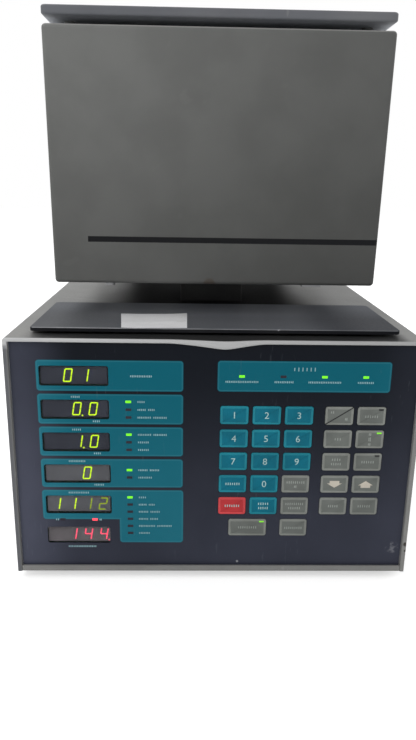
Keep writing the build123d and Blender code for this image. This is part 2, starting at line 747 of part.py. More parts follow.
# Cooling fan frame: a square duct with a bearing hub on four struts
fan_front_y = pan_rear_y - fan_depth
duct_radius = fan_side / 2 - 2.0
hub_radius = 15.5
strut_thickness = 4.0
shaft_radius = 1.5
with BuildPart() as cooling_fan_frame:
    with BuildSketch(facing_front(fan_front_y)):
        with Locations((fan_x, fan_z)):
            RectangleRounded(fan_side, fan_side, 4.0)
            Circle(duct_radius, mode=Mode.SUBTRACT)
        with Locations(*fan_spots):
            Circle(hole_radius_m4, mode=Mode.SUBTRACT)
    extrude(amount=-fan_depth)
    with BuildSketch(facing_front(fan_front_y)):
        with Locations((fan_x, fan_z)):
            Circle(hub_radius)
            Rectangle(2 * duct_radius + 1.0, 3.5, rotation=45)
            Rectangle(2 * duct_radius + 1.0, 3.5, rotation=-45)
            Circle(shaft_radius + running_gap, mode=Mode.SUBTRACT)
    extrude(amount=-strut_thickness)
cooling_fan_frame.part.label = "cooling_fan_frame"
export_step(cooling_fan_frame.part, "parts/cooling_fan_frame.step")

# Fan rotor: a hub on its shaft, with pitched blades trimmed to the duct
rotor_y = fan_front_y + strut_thickness + 0.4
rotor_depth = 16.0
blade_pitch = 38.0
blade_chord = 20.0
blade_sheet = 1.6
blade_tip = duct_radius - 1.2
with BuildPart() as fan_rotor:
    with BuildSketch(facing_front(rotor_y)):
        with Locations((fan_x, fan_z)):
            Circle(hub_radius)
    extrude(amount=-rotor_depth)
    for i in range(blade_count):
        angle = radians(360.0 * i / blade_count)
        blade_plane = Plane(origin=(fan_x, rotor_y + rotor_depth / 2, fan_z), x_dir=(0, 1, 0),
                            z_dir=(cos(angle), 0, sin(angle)))
        with BuildSketch(blade_plane):
            Rectangle(blade_chord, blade_sheet, rotation=blade_pitch)
        extrude(amount=blade_tip + 2.0)
    with BuildSketch(facing_front(rotor_y)):
        with Locations((fan_x, fan_z)):
            Circle(blade_tip)
    extrude(amount=-rotor_depth, mode=Mode.INTERSECT)
    with BuildSketch(facing_front(rotor_y)):
        with Locations((fan_x, fan_z)):
            Circle(shaft_radius)
    extrude(amount=strut_thickness)
fan_rotor.part.label = "fan_rotor"
export_step(fan_rotor.part, "parts/fan_rotor.step")

# Rubber feet: four tapered feet with a screw recess in each
foot_recess = 0.55 * foot_height
with BuildPart() as rubber_feet:
    with Locations(*[(x, y, 0) for x, y in foot_spots]):
        Cone(foot_radius - 1.5, foot_radius, foot_height, align=UP)
        Cylinder(0.5 * foot_radius, foot_recess, align=UP, mode=Mode.SUBTRACT)
        Cylinder(hole_radius_m4, foot_height, align=UP, mode=Mode.SUBTRACT)
rubber_feet.part.label = "rubber_feet"
export_step(rubber_feet.part, "parts/rubber_feet.step")

# Work plate: a plain black plate that stands on spacers over the front of the console
thread_depth = 2.2
with BuildPart() as work_plate:
    with BuildSketch(level(work_plate_z)):
        with Locations((0, work_plate_y)):
            RectangleRounded(work_plate_width, work_plate_depth, work_plate_round)
    extrude(amount=work_plate_sheet)
    chamfer(work_plate.faces().sort_by(Axis.Z)[-1].edges(), 0.4)
    with Locations(*[(x, y, work_plate_z) for x, y in plate_spots]):
        Cylinder(screw_radius_m4 + 0.05, thread_depth, align=UP, mode=Mode.SUBTRACT)
work_plate.part.label = "work_plate"
export_step(work_plate.part, "parts/work_plate.step")

# Pedestal: a square steel box with a thick top and a threaded block in each corner
boss_side = 2 * (pedestal_side / 2 - pedestal_wall - pedestal_boss)
boss_thread = 12.0
with BuildPart() as pedestal:
    with BuildSketch(level(top_z)):
        with Locations((0, chamber_y)):
            RectangleRounded(pedestal_side, pedestal_side, 1.5)
            Rectangle(pedestal_side - 2 * pedestal_wall, pedestal_side - 2 * pedestal_wall,
                      mode=Mode.SUBTRACT)
        with Locations(*pedestal_spots):
            Rectangle(boss_side, boss_side)
    extrude(amount=platform_z - top_z)
    with BuildSketch(level(platform_z)):
        with Locations((0, chamber_y)):
            RectangleRounded(pedestal_side, pedestal_side, 1.5)
    extrude(amount=-pedestal_top)
    with Locations(*[(x, y, top_z) for x, y in pedestal_spots]):
        Cylinder(screw_radius_m4 + 0.05, boss_thread, align=UP, mode=Mode.SUBTRACT)
    with Locations(*[(x, y, platform_z) for x, y in platform_spots]):
        Cylinder(screw_radius_m4 + 0.05, pedestal_top, align=DOWN, mode=Mode.SUBTRACT)
pedestal.part.label = "pedestal"
export_step(pedestal.part, "parts/pedestal.step")

# Firing platform: a round plate with a seal groove and sunk screw holes under the firing table
sunk_depth = 3.0
sunk_radius = 3.8
with BuildPart() as firing_platform:
    with BuildSketch(level(platform_z)):
        with Locations((0, chamber_y)):
            Circle(platform_radius)
    extrude(amount=platform_thickness)
    chamfer(firing_platform.edges(), 0.6)
    with BuildSketch(level(platform_top_z)):
        with Locations((0, chamber_y)):
            Circle(seal_radius + seal_section / 2 + 0.1)
            Circle(seal_radius - seal_section / 2 - 0.1, mode=Mode.SUBTRACT)
    extrude(amount=seal_stand - seal_section, mode=Mode.SUBTRACT)
    with Locations(*[(x, y, platform_top_z) for x, y in platform_spots]):
        Cylinder(sunk_radius, sunk_depth, align=DOWN, mode=Mode.SUBTRACT)
        Cylinder(hole_radius_m4, platform_thickness, align=DOWN, mode=Mode.SUBTRACT)
firing_platform.part.label = "firing_platform"
export_step(firing_platform.part, "parts/firing_platform.step")

# Seal ring: a silicone ring that stands out of its groove to meet the head
with BuildPart() as seal_ring:
    with BuildSketch(level(platform_top_z + seal_stand)):
        with Locations((0, chamber_y)):
            Circle(seal_radius + seal_section / 2)
            Circle(seal_radius - seal_section / 2, mode=Mode.SUBTRACT)
    extrude(amount=-seal_section)
    fillet(seal_ring.edges(), 0.28 * seal_section)
seal_ring.part.label = "seal_ring"
export_step(seal_ring.part, "parts/seal_ring.step")

# Firing table: a refractory plug that rises into the muffle, with the firing tray in its recess
plug_z = platform_top_z + table_height
plug_top_z = plug_z + plug_height
tray_seat = 0.1
tray_z = plug_top_z - tray_recess + tray_seat
tray_top_z = tray_z + tray_height
with BuildPart() as firing_table:
    with Locations((0, chamber_y, platform_top_z)):
        Cylinder(table_radius, table_height, align=UP)
    with Locations((0, chamber_y, plug_z)):
        Cylinder(plug_radius, plug_height, align=UP)
    chamfer(firing_table.edges().group_by(Axis.Z)[-1], 1.0)
    with Locations((0, chamber_y, plug_top_z)):
        Cylinder(tray_radius + fit_gap, tray_recess, align=DOWN, mode=Mode.SUBTRACT)
    with Locations((0, chamber_y, tray_z)):
        Cylinder(tray_radius, tray_height, align=UP)
    with Locations(level(tray_top_z)):
        with Locations((0, chamber_y)):
            with HexLocations(3.4, 7, 7):
                Hole(2.2, depth=tray_height - 1.0)
    with Locations((0, chamber_y, tray_top_z)):
        with PolarLocations(tray_radius - 4.5, 4, 45.0):
            Cylinder(peg_radius, peg_height, align=UP)
firing_table.part.label = "firing_table"
export_step(firing_table.part, "parts/firing_table.step")

# Lift motor: a flat gear motor bolted under the lift frame, with its shaft up into the bearing hole
gearcase_height = 0.45 * motor_height
with BuildPart() as lift_motor:
    with Locations((0, lift_y, lift_plate_z)):
        Cylinder(motor_radius, motor_height, align=DOWN)
        Cylinder(journal_radius - 1.0, 0.2, align=UP)
    with Locations((0, lift_y, lift_plate_z - gearcase_height / 2)):
        Box(2 * motor_radius + 4.0, 0.9 * block_depth, gearcase_height)
    fillet(lift_motor.faces().sort_by(Axis.Z)[0].edges(), 2.0)
lift_motor.part.label = "lift_motor"
export_step(lift_motor.part, "parts/lift_motor.step")

# Lead screw: a long screw between two journals, made plain where it runs in the nut
screw_z = lift_plate_z + lift_plate + fit_gap
screw_top_z = block_z - fit_gap
journal_depth = 14.0
with BuildPart() as lead_screw:
    with Locations((0, lift_y, screw_z)):
        Cylinder(screw_radius, screw_top_z - screw_z, align=UP)
        Cylinder(journal_radius, lift_plate + fit_gap - 0.5, align=DOWN)
    with Locations((0, lift_y, screw_top_z)):
        Cylinder(journal_radius, journal_depth, align=UP)
lead_screw.part.label = "lead_screw"
export_step(lead_screw.part, "parts/lead_screw.step")

# Lift frame: a bridge with a guide block under the console top, plus the two bronze guide bushes
bush_outer = post_radius + running_gap + bush_wall
with BuildPart() as lift_frame:
    with Locations((0, lift_y, block_z)):
        Box(2 * (leg_x + leg_thickness), block_depth, block_height, align=UP)
    with Locations((0, lift_y, lift_plate_z)):
        Box(2 * leg_x + leg_thickness, block_depth, lift_plate, align=UP)
    for side in (-1, 1):
        with Locations((side * (leg_x + leg_thickness / 2), lift_y, pan_top_z)):
            Box(leg_thickness, block_depth, block_z - pan_top_z, align=UP)
        with Locations((side * leg_foot_x, lift_y, pan_top_z)):
            Box(leg_foot, block_depth, lift_plate, align=UP)
    with Locations(*[(x, y, pan_top_z) for x, y in leg_spots]):
        Cylinder(hole_radius_m4, lift_plate, align=UP, mode=Mode.SUBTRACT)
    with Locations((-post_spread, lift_y, block_z), (post_spread, lift_y, block_z)):
        Cylinder(bush_outer + running_gap, block_height, align=UP, mode=Mode.SUBTRACT)
    with Locations((0, lift_y, block_z)):
        Cylinder(journal_radius + running_gap, journal_depth + 1.0, align=UP, mode=Mode.SUBTRACT)
    with Locations((0, lift_y, lift_plate_z)):
        Cylinder(journal_radius + running_gap, lift_plate, align=UP, mode=Mode.SUBTRACT)
    with BuildSketch(level(block_z)):
        with Locations((-post_spread, lift_y), (post_spread, lift_y)):
            Circle(bush_outer)
            Circle(post_radius + running_gap, mode=Mode.SUBTRACT)
    extrude(amount=block_height)
lift_frame.part.label = "lift_frame"
export_step(lift_frame.part, "parts/lift_frame.step")

# Console fasteners: foot, case, rear, plate, pedestal, platform, frame and fan screws, nuts and spacers
spacer_radius = 5.0
nut_height = 3.2
nut_radius = 4.0
with BuildPart() as console_fasteners:
    for x, y in foot_spots:
        add_screw(facing(x, y, foot_recess, (0, 0, -1)), 3.5, 2.4, screw_radius_m4,
                  pan_top_z + nut_height - foot_recess + 1.0)
    for side in (-1, 1):
        for y in side_screw_ys:
            add_flush_screw(facing(side * half_width, y, side_screw_z, (side, 0, 0)), flush_head_radius,
                            case_sheet, screw_radius_m3, 7.0)
        for z in rear_side_screw_zs:
            add_flush_screw(facing(side * half_width, rear_y - rear_fold * 0.6, z, (side, 0, 0)),
                            flush_head_radius, case_sheet, screw_radius_m3, 6.0)
    for x in rear_screw_xs:
        add_screw(facing(x, rear_y, side_screw_z, (0, 1, 0)), 2.9, 2.0, screw_radius_m3, 6.0)
    for x, y in plate_spots:
        add_screw(facing(x, y, under_top_z, (0, 0, -1)), 3.5, 2.4, screw_radius_m4,
                  work_plate_z + thread_depth - under_top_z - fit_gap)
    for x, y in pedestal_spots:
        add_screw(facing(x, y, under_top_z, (0, 0, -1)), 3.5, 2.4, screw_radius_m4,
                  case_sheet + boss_thread - 1.0)
    for x, y in platform_spots:
        add_screw(facing(x, y, platform_top_z - sunk_depth, (0, 0, 1)), 3.5, 2.4, screw_radius_m4,
                  platform_thickness - sunk_depth + pedestal_top)
    for x, y in leg_spots:
        add_screw(facing(x, y, pan_top_z + lift_plate, (0, 0, 1)), 3.5, 2.4, screw_radius_m4,
                  lift_plate + pan_sheet)
    for x, z in fan_spots:
        add_screw(facing(x, rear_y, z, (0, 1, 0)), 3.5, 2.0, screw_radius_m4, 16.0)
    with BuildSketch(level(pan_top_z)):
        with Locations(*foot_spots):
            RegularPolygon(nut_radius, 6)
            Circle(screw_radius_m4 + 0.05, mode=Mode.SUBTRACT)
    extrude(amount=nut_height)
    with BuildSketch(level(top_z)):
        with Locations(*plate_spots):
            Circle(spacer_radius)
            Circle(screw_radius_m4 + 0.05, mode=Mode.SUBTRACT)
    extrude(amount=work_plate_z - top_z)
console_fasteners.part.label = "console_fasteners"
export_step(console_fasteners.part, "parts/console_fasteners.step")

# Lift posts: two hollow steel posts, each with a spigot through the head's base plate and a nut on it
post_bore = post_radius - 3.0
post_foot_z = carriage_z + 4.0
spigot_post_radius = 6.0
post_nut_radius = 9.5
post_nut_height = 8.0
with BuildPart() as lift_posts:
    for side in (-1, 1):
        with Locations((side * post_spread, lift_y, post_foot_z)):
            Cylinder(post_radius, plate_z - post_foot_z, align=UP)
        with Locations((side * post_spread, lift_y, plate_z)):
            Cylinder(spigot_post_radius, base_plate_thickness + post_nut_height + 2.0, align=UP)
        with Locations((side * post_spread, lift_y, post_foot_z)):
            Cylinder(post_bore, plate_z - post_foot_z - 12.0, align=UP, mode=Mode.SUBTRACT)
    with BuildSketch(level(plate_top_z)):
        with Locations((-post_spread, lift_y), (post_spread, lift_y)):
            RegularPolygon(post_nut_radius, 6)
            Circle(spigot_post_radius + 0.05, mode=Mode.SUBTRACT)
    extrude(amount=post_nut_height)
lift_posts.part.label = "lift_posts"
export_step(lift_posts.part, "parts/lift_posts.step")

# Lift carriage: a cross bar with a socket for each post, and the brass nut of the lead screw
carriage_width = 2 * (post_spread + post_radius + 5.0)
nut_body_radius = 11.0
with BuildPart() as lift_carriage:
    with Locations((0, lift_y, carriage_z)):
        Box(carriage_width, carriage_depth, carriage_height, align=UP)
    fillet(lift_carriage.edges().filter_by(Axis.Z), 5.0)
    with Locations((-post_spread, lift_y, post_foot_z), (post_spread, lift_y, post_foot_z)):
        Cylinder(post_radius + running_gap, carriage_height, align=UP, mode=Mode.SUBTRACT)
    with Locations((0, lift_y, carriage_z)):
        Cylinder(nut_body_radius + running_gap, carriage_height, align=UP, mode=Mode.SUBTRACT)
    with BuildSketch(level(carriage_z)):
        with Locations((0, lift_y)):
            Circle(nut_body_radius)
            Circle(screw_radius + running_gap, mode=Mode.SUBTRACT)
    extrude(amount=carriage_height)
lift_carriage.part.label = "lift_carriage"
export_step(lift_carriage.part, "parts/lift_carriage.step")

# Head base plate: the steel floor of the head with the muffle's mouth, its screws and a rubber buffer
base_inset = case_sheet + fit_gap
mouth_radius = table_radius + mouth_clearance
head_screw_head = 2.0
buffer_width = 15.6
buffer_depth = 6.0
with BuildPart() as head_base_plate:
    with BuildSketch(level(plate_z)):
        with Locations((0, chamber_y)):
            RectangleRounded(head_width - 2 * base_inset, head_depth - 2 * base_inset, head_bend)
            Circle(mouth_radius, mode=Mode.SUBTRACT)
        with Locations((-post_spread, lift_y), (post_spread, lift_y)):
            Circle(spigot_post_radius + 0.2, mode=Mode.SUBTRACT)
        with Locations(*head_screw_spots):
            Circle(hole_radius_m4, mode=Mode.SUBTRACT)
    extrude(amount=base_plate_thickness)
    for x, y in head_screw_spots:
        add_screw(facing(x, y, head_z, (0, 0, -1)), 3.9, head_screw_head, screw_radius_m4,
                  case_sheet + base_plate_thickness + 3.0)
    with Locations((head_screw_x - 6.7, chamber_y - head_screw_y + 1.0, head_z)):
        Box(buffer_width, buffer_depth, head_screw_head, align=DOWN)
head_base_plate.part.label = "head_base_plate"
export_step(head_base_plate.part, "parts/head_base_plate.step")

# Head shell: a folded and welded case whose front leans out towards its top. It is open below inside a
# flange, and has vents in its top and back and lid studs on top.
shell_inner_round = head_bend - case_sheet
stud_radius = 4.0
stud_x = head_width / 2 - 17.0
stud_y = head_depth / 2 - 17.0
lean_slope = head_lean / head_height
lean_wall = case_sheet * hypot(1.0, lean_slope)
cavity_top_z = head_top_z - case_sheet
cavity_rear_y = head_rear_y - case_sheet
cavity_foot_y = head_front_y - lean_slope * case_sheet + lean_wall
cavity_head_y = head_front_y - head_lean + lean_slope * case_sheet + lean_wall
with BuildPart() as head_shell:
    with BuildSketch(Plane.YZ.offset(-head_width / 2)):
        with BuildLine():
            Polyline((head_front_y, head_z), (head_rear_y, head_z), (head_rear_y, head_top_z),
                     (head_front_y - head_lean, head_top_z), close=True)
        make_face()
    extrude(amount=head_width)
    fillet(head_shell.edges(), head_bend)
    for z, front in ((plate_z, cavity_foot_y), (cavity_top_z, cavity_head_y)):
        with BuildSketch(level(z)):
            with Locations((0, (front + cavity_rear_y) / 2)):
                RectangleRounded(head_width - 2 * case_sheet, cavity_rear_y - front, shell_inner_round)
    loft(ruled=True, mode=Mode.SUBTRACT)
    with BuildSketch(level(head_z)):
        with Locations((0, chamber_y)):
            Rectangle(head_width - 2 * head_flange, head_depth - 2 * head_flange)
        with Locations(*head_screw_spots):
            Circle(hole_radius_m4)
    extrude(amount=case_sheet, mode=Mode.SUBTRACT)
    with BuildSketch(level(head_top_z)):
        with Locations((0, chamber_y)):
            with GridLocations(12.0, 62.0, 13, 3):
                SlotOverall(48.0, 5.0, rotation=90)
    extrude(amount=-case_sheet, mode=Mode.SUBTRACT)
    with BuildSketch(facing_front(head_rear_y)):
        with Locations((0, head_z + 0.22 * head_height), (0, head_z + 0.78 * head_height)):
            with GridLocations(10.0, 0, 17, 1):
                SlotOverall(34.0, 4.0, rotation=90)
    extrude(amount=case_sheet, mode=Mode.SUBTRACT)
    with Locations((0, chamber_y, head_top_z)):
        with GridLocations(2 * stud_x, 2 * stud_y, 2, 2):
            Cylinder(stud_radius, lid_gap, align=UP)
head_shell.part.label = "head_shell"
export_step(head_shell.part, "parts/head_shell.step")

# Head lid: a shallow folded cover with a wide return all round, standing clear of the shell
lid_z = head_top_z + lid_gap
lid_return = 30.0
lid_corner = 4.0
lid_depth = head_depth + head_lean
lid_y = chamber_y - head_lean / 2
with BuildPart() as head_lid:
    with BuildSketch(level(lid_z)):
        with Locations((0, lid_y)):
            RectangleRounded(head_width, lid_depth, lid_corner)
    extrude(amount=lid_height)
    fillet(head_lid.faces().sort_by(Axis.Z)[-1].edges(), lid_round)
    fillet(head_lid.faces().sort_by(Axis.Z)[0].edges(), lid_round)
    with BuildSketch(level(lid_z + case_sheet)):
        with Locations((0, lid_y)):
            RectangleRounded(head_width - 2 * case_sheet, lid_depth - 2 * case_sheet,
                             lid_corner - case_sheet)
    extrude(amount=lid_height - 2 * case_sheet, mode=Mode.SUBTRACT)
    with BuildSketch(level(lid_z)):
        with Locations((0, lid_y)):
            Rectangle(head_width - 2 * lid_return, lid_depth - 2 * lid_return)
    extrude(amount=case_sheet, mode=Mode.SUBTRACT)
head_lid.part.label = "head_lid"
export_step(head_lid.part, "parts/head_lid.step")

# Vacuum chamber: a flanged steel can round the insulation, with bolts and a gland on its roof
gland_radius = 9.0
gland_height = 8.0
sheath_gap = 0.2
chamber_bolt_radius = chamber_outer + chamber_flange / 2
chamber_flange_sheet = 3.0
chamber_bolt_z = plate_top_z + chamber_flange_sheet + 0.05
bolt_count = 8
with BuildPart() as vacuum_chamber:
    with Locations((0, chamber_y, plate_top_z)):
        Cylinder(chamber_outer, chamber_top_z - plate_top_z, align=UP)
        Cylinder(chamber_outer + chamber_flange, chamber_flange_sheet, align=UP)
    fillet(vacuum_chamber.edges().group_by(Axis.Z)[-1], 1.5)
    with Locations((0, chamber_y, plate_top_z)):
        Cylinder(chamber_inner, chamber_top_z - chamber_sheet - plate_top_z, align=UP, mode=Mode.SUBTRACT)
    with Locations((0, chamber_y, chamber_top_z)):
        Cylinder(gland_radius, gland_height, align=UP)
    with Locations((0, chamber_y, chamber_top_z + gland_height)):
        Cylinder(thermocouple_radius + sheath_gap, gland_height + chamber_sheet, align=DOWN,
                 mode=Mode.SUBTRACT)
    with BuildSketch(level(chamber_bolt_z)):
        with Locations((0, chamber_y)):
            with PolarLocations(chamber_bolt_radius, bolt_count, 180.0 / bolt_count):
                RegularPolygon(3.8, 6)
    extrude(amount=3.0)
vacuum_chamber.part.label = "vacuum_chamber"
export_step(vacuum_chamber.part, "parts/vacuum_chamber.step")

# Muffle insulation: a thick fibre jacket with a roof, bored for the muffle and the thermocouple
pocket_gap = 0.2
with BuildPart() as muffle_insulation:
    with Locations((0, chamber_y, plate_top_z)):
        Cylinder(insulation_radius, insulation_top_z - plate_top_z, align=UP)
        Cylinder(muffle_outer + pocket_gap, muffle_height + pocket_gap, align=UP, mode=Mode.SUBTRACT)
        Cylinder(thermocouple_radius + sheath_gap, insulation_top_z - plate_top_z, align=UP,
                 mode=Mode.SUBTRACT)
muffle_insulation.part.label = "muffle_insulation"
export_step(muffle_insulation.part, "parts/muffle_insulation.step")

# Heating muffle: a ceramic tube with grooves round its bore for the element
groove_count = 8
groove_width = 3.2
groove_depth = 2.8
groove_zs = [plate_top_z + muffle_height * (i + 0.5) / groove_count for i in range(groove_count)]
with BuildPart() as heating_muffle:
    with Locations((0, chamber_y, plate_top_z)):
        Cylinder(muffle_outer, muffle_height, align=UP)
        Cylinder(muffle_radius, muffle_height, align=UP, mode=Mode.SUBTRACT)
    with Locations(*[(0, chamber_y, z) for z in groove_zs]):
        Cylinder(muffle_radius + groove_depth, groove_width, mode=Mode.SUBTRACT)
heating_muffle.part.label = "heating_muffle"
export_step(heating_muffle.part, "parts/heating_muffle.step")

# Heating element: its turns of resistance wire, one in each groove of the muffle
element_radius = 1.1
element_inset = 1.4
with BuildPart() as heating_element:
    with Locations(*[(0, chamber_y, z) for z in groove_zs]):
        Torus(muffle_radius + element_inset, element_radius)
heating_element.part.label = "heating_element"
export_step(heating_element.part, "parts/heating_element.step")

# Thermocouple: a sheathed probe down through the gland, with its terminal head on top
sheath_tip_z = plate_top_z + muffle_height - thermocouple_reach
sheath_top_z = chamber_top_z + gland_height
with BuildPart() as thermocouple:
    with Locations((0, chamber_y, sheath_tip_z)):
        Cylinder(thermocouple_radius, sheath_top_z - sheath_tip_z, align=UP)
    fillet(thermocouple.edges().group_by(Axis.Z)[0], 1.5)
    with Locations((0, chamber_y, sheath_top_z)):
        Cylinder(8.0, 10.0, align=UP)
        Box(26.0, 14.0, 8.0, align=UP)
thermocouple.part.label = "thermocouple"
export_step(thermocouple.part, "parts/thermocouple.step")

print("head travel", round(head_travel, 3), "overall depth", console_depth + spigot_length)
print("overall height", round(lid_z + lid_height, 3), "parts", 33 + len(keys))
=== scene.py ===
import math

import bmesh
import bpy
from mathutils import Matrix, Vector


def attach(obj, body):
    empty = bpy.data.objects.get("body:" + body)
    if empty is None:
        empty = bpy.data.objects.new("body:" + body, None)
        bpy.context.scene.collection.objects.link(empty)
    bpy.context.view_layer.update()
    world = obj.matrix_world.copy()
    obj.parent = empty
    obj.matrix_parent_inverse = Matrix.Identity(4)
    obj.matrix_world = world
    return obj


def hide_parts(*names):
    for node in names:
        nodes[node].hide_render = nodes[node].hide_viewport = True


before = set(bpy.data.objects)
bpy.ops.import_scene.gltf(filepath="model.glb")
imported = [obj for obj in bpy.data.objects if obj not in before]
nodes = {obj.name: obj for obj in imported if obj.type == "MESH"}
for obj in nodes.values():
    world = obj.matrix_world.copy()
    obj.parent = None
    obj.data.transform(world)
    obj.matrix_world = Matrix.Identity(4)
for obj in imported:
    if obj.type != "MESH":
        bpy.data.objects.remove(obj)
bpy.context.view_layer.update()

# Bottom pan: a folded steel tray in grey enamel, whose front lip shows as a strip under the panel.
# It hangs inside the case on side screws, and carries everything else in the console.


def srgb(red, green, blue):
    """A colour written as it shows on a screen, as the linear colour that nodes take."""
    return tuple((c / 255 / 12.92 if c <= 10 else ((c / 255 + 0.055) / 1.055) ** 2.4)
                 for c in (red, green, blue)) + (1.0,)


def put(tree, kind, feeds=(), **settings):
    """Adds a node with its settings, and feeds its inputs with links or constants."""
    node = tree.nodes.new(kind)
    for key, value in settings.items():
        setattr(node, key, value)
    for label, value in dict(feeds).items():
        if isinstance(value, bpy.types.NodeSocket):
            tree.links.new(value, node.inputs[label])
        else:
            node.inputs[label].default_value = value
    return node


def calc(tree, operation, a, b=0.0, c=0.0):
    """The result of one Math node."""
    return put(tree, "ShaderNodeMath", {0: a, 1: b, 2: c}, operation=operation).outputs[0]


def fade(tree, value, low, high, to_low=0.0, to_high=1.0):
    """A value carried smoothly from one range to another, and held at its ends."""
    feeds = {0: value, 1: low, 2: high, 3: to_low, 4: to_high}
    return put(tree, "ShaderNodeMapRange", feeds, interpolation_type="SMOOTHSTEP").outputs[0]


def mix(tree, share, first, second):
    """Two colours mixed by a share."""
    return put(tree, "ShaderNodeMix", {0: share, 6: first, 7: second}, data_type="RGBA").outputs[2]


def times(tree, *values):
    """The product of several values."""
    product = values[0]
    for value in values[1:]:
        product = calc(tree, "MULTIPLY", product, value)
    return product


def scaled(tree, colour, share):
    """A colour made darker or lighter by a factor."""
    return put(tree, "ShaderNodeVectorMath", {0: colour, "Scale": share}, operation="SCALE").outputs[0]


def noise(tree, place, scale, detail=2.0):
    """Noise that varies over the piece."""
    feeds = {"Vector": place, "Scale": scale, "Detail": detail}
    return put(tree, "ShaderNodeTexNoise", feeds).outputs["Fac"]


def varied(tree, place, scale, detail, low, high):
    """Noise spread between two values."""
    return fade(tree, noise(tree, place, scale, detail), 0.3, 0.7, low, high)


def bumpy(tree, height, strength, distance=0.0001):
    """The normal of a surface with fine relief."""
    feeds = {"Height": height, "Strength": strength, "Distance": distance}
    return put(tree, "ShaderNodeBump", feeds).outputs[0]


def object_place(tree):
    """Object coordinates, which are metres in the furnace's own frame."""
    return put(tree, "ShaderNodeTexCoord").outputs["Object"]


def new_group(name, takes, gives):
    """An empty node group with named sockets."""
    tree = bpy.data.node_groups.new(name, "ShaderNodeTree")
    for label, kind in takes:
        tree.interface.new_socket(label, in_out="INPUT", socket_type="NodeSocket" + kind)
    for label, kind in gives:
        tree.interface.new_socket(label, in_out="OUTPUT", socket_type="NodeSocket" + kind)
    return tree, tree.nodes.new("NodeGroupInput").outputs, tree.nodes.new("NodeGroupOutput").inputs


def place_group(tree, group, **feeds):
    """Places a node group in a material with its own values, and gives its outputs."""
    return put(tree, "ShaderNodeGroup", feeds, node_tree=group).outputs


def new_material(name, **constants):
    """A material with its Principled shader, whose plain constants are set on its own sockets."""
    material = bpy.data.materials.new(name)
    material.use_nodes = True
    shader = material.node_tree.nodes["Principled BSDF"]
    for label, value in constants.items():
        shader.inputs[label.replace("_", " ")].default_value = value
    return material, material.node_tree, shader


def feed(tree, shader, label, value):
    """Links one value to the shader."""
    tree.links.new(value, shader.inputs[label])


def wire(tree, shader, outputs):
    """Links a finish's colour, roughness and normal to the shader."""
    for label, output in (("Base Color", "Color"), ("Roughness", "Roughness"), ("Normal", "Normal")):
        feed(tree, shader, label, outputs[output])


def coat_node(name, material):
    """Gives a carried-over CAD node its material."""
    nodes[name].data.materials.clear()
    nodes[name].data.materials.append(material)


FINISH = [("Color", "Color"), ("Roughness", "Float"), ("Normal", "Vector")]

# Stoved enamel: orange peel, faint mottling, and dust that dulls it
enamel, take, give = new_group("stoved_enamel", [("Paint", "Color"), ("Gloss", "Float"),
                                                 ("Peel", "Float"), ("Dust", "Float")], FINISH)
place = object_place(enamel)
mottle = varied(enamel, place, 26.0, 4.0, 0.93, 1.06)
dust = times(enamel, fade(enamel, noise(enamel, place, 9.0, 5.0), 0.45, 0.75), take["Dust"])
dust_tone = srgb(176, 172, 164)
enamel.links.new(mix(enamel, dust, scaled(enamel, take["Paint"], mottle), dust_tone), give["Color"])
rough = calc(enamel, "ADD", take["Gloss"], varied(enamel, place, 420.0, 1.0, -0.03, 0.03))
enamel.links.new(calc(enamel, "ADD", rough, times(enamel, dust, 0.5)), give["Roughness"])
enamel.links.new(bumpy(enamel, noise(enamel, place, 750.0, 1.0), take["Peel"]), give["Normal"])

# Fine scratches: long thin noise, thresholded to hairlines
scratches, take, give = new_group("hairline_scratches", [("Turn", "Float"), ("Amount", "Float")],
                                  [("Mask", "Float")])
turned = put(scratches, "ShaderNodeVectorRotate", {"Vector": object_place(scratches), "Angle": take["Turn"]},
             rotation_type="Z_AXIS").outputs[0]
long_way = put(scratches, "ShaderNodeMapping", {"Vector": turned, "Scale": (9.0, 460.0, 60.0)}).outputs[0]
hair = fade(scratches, noise(scratches, long_way, 1.0, 2.0), 0.66, 0.72)
patchy = fade(scratches, noise(scratches, object_place(scratches), 15.0, 2.0), 0.42, 0.62)
scratches.links.new(times(scratches, hair, patchy, take["Amount"]), give["Mask"])


def enamelled(name, paint, gloss, peel, dust, **constants):
    """A material of stoved enamel. It gives the enamel too, for what is laid over it."""
    material, tree, shader = new_material(name, **constants)
    finish = place_group(tree, enamel, Paint=paint, Gloss=gloss, Peel=peel, Dust=dust)
    wire(tree, shader, finish)
    return material, tree, shader, finish


def scratched(tree, colour, turn, amount, bare):
    """A colour with fine scratches of another one, which lie one way."""
    hairs = place_group(tree, scratches, Turn=turn, Amount=amount)["Mask"]
    return mix(tree, hairs, colour, bare)


case_paint, tree, shader, painted = enamelled("grey_case_enamel", srgb(136, 136, 134), 0.42, 0.25, 0.12,
                                              Coat_Weight=0.15, Coat_Roughness=0.2)
feed(tree, shader, "Base Color", scratched(tree, painted["Color"], 0.2, 0.35, srgb(186, 186, 184)))
coat_node("bottom_pan", case_paint)

# Rubber feet: moulded black rubber with a fine grain, each held by a screw up through the pan.
# They carry the console clear of the bench.
moulded, take, give = new_group("moulded_grain", [("Stock", "Color"), ("Dull", "Float"),
                                                  ("Grain", "Float")], FINISH)
place = object_place(moulded)
shade = varied(moulded, place, 60.0, 4.0, 0.9, 1.12)
moulded.links.new(scaled(moulded, take["Stock"], shade), give["Color"])
sheen = varied(moulded, place, 180.0, 2.0, -0.06, 0.06)
moulded.links.new(calc(moulded, "ADD", take["Dull"], sheen), give["Roughness"])
moulded.links.new(bumpy(moulded, noise(moulded, place, 1500.0), take["Grain"]), give["Normal"])


def moulded_material(name, stock, dull, grain_depth, **constants):
    """A material of one moulded, pressed or sintered stock."""
    material, tree, shader = new_material(name, **constants)
    wire(tree, shader, place_group(tree, moulded, Stock=stock, Dull=dull, Grain=grain_depth))
    return material


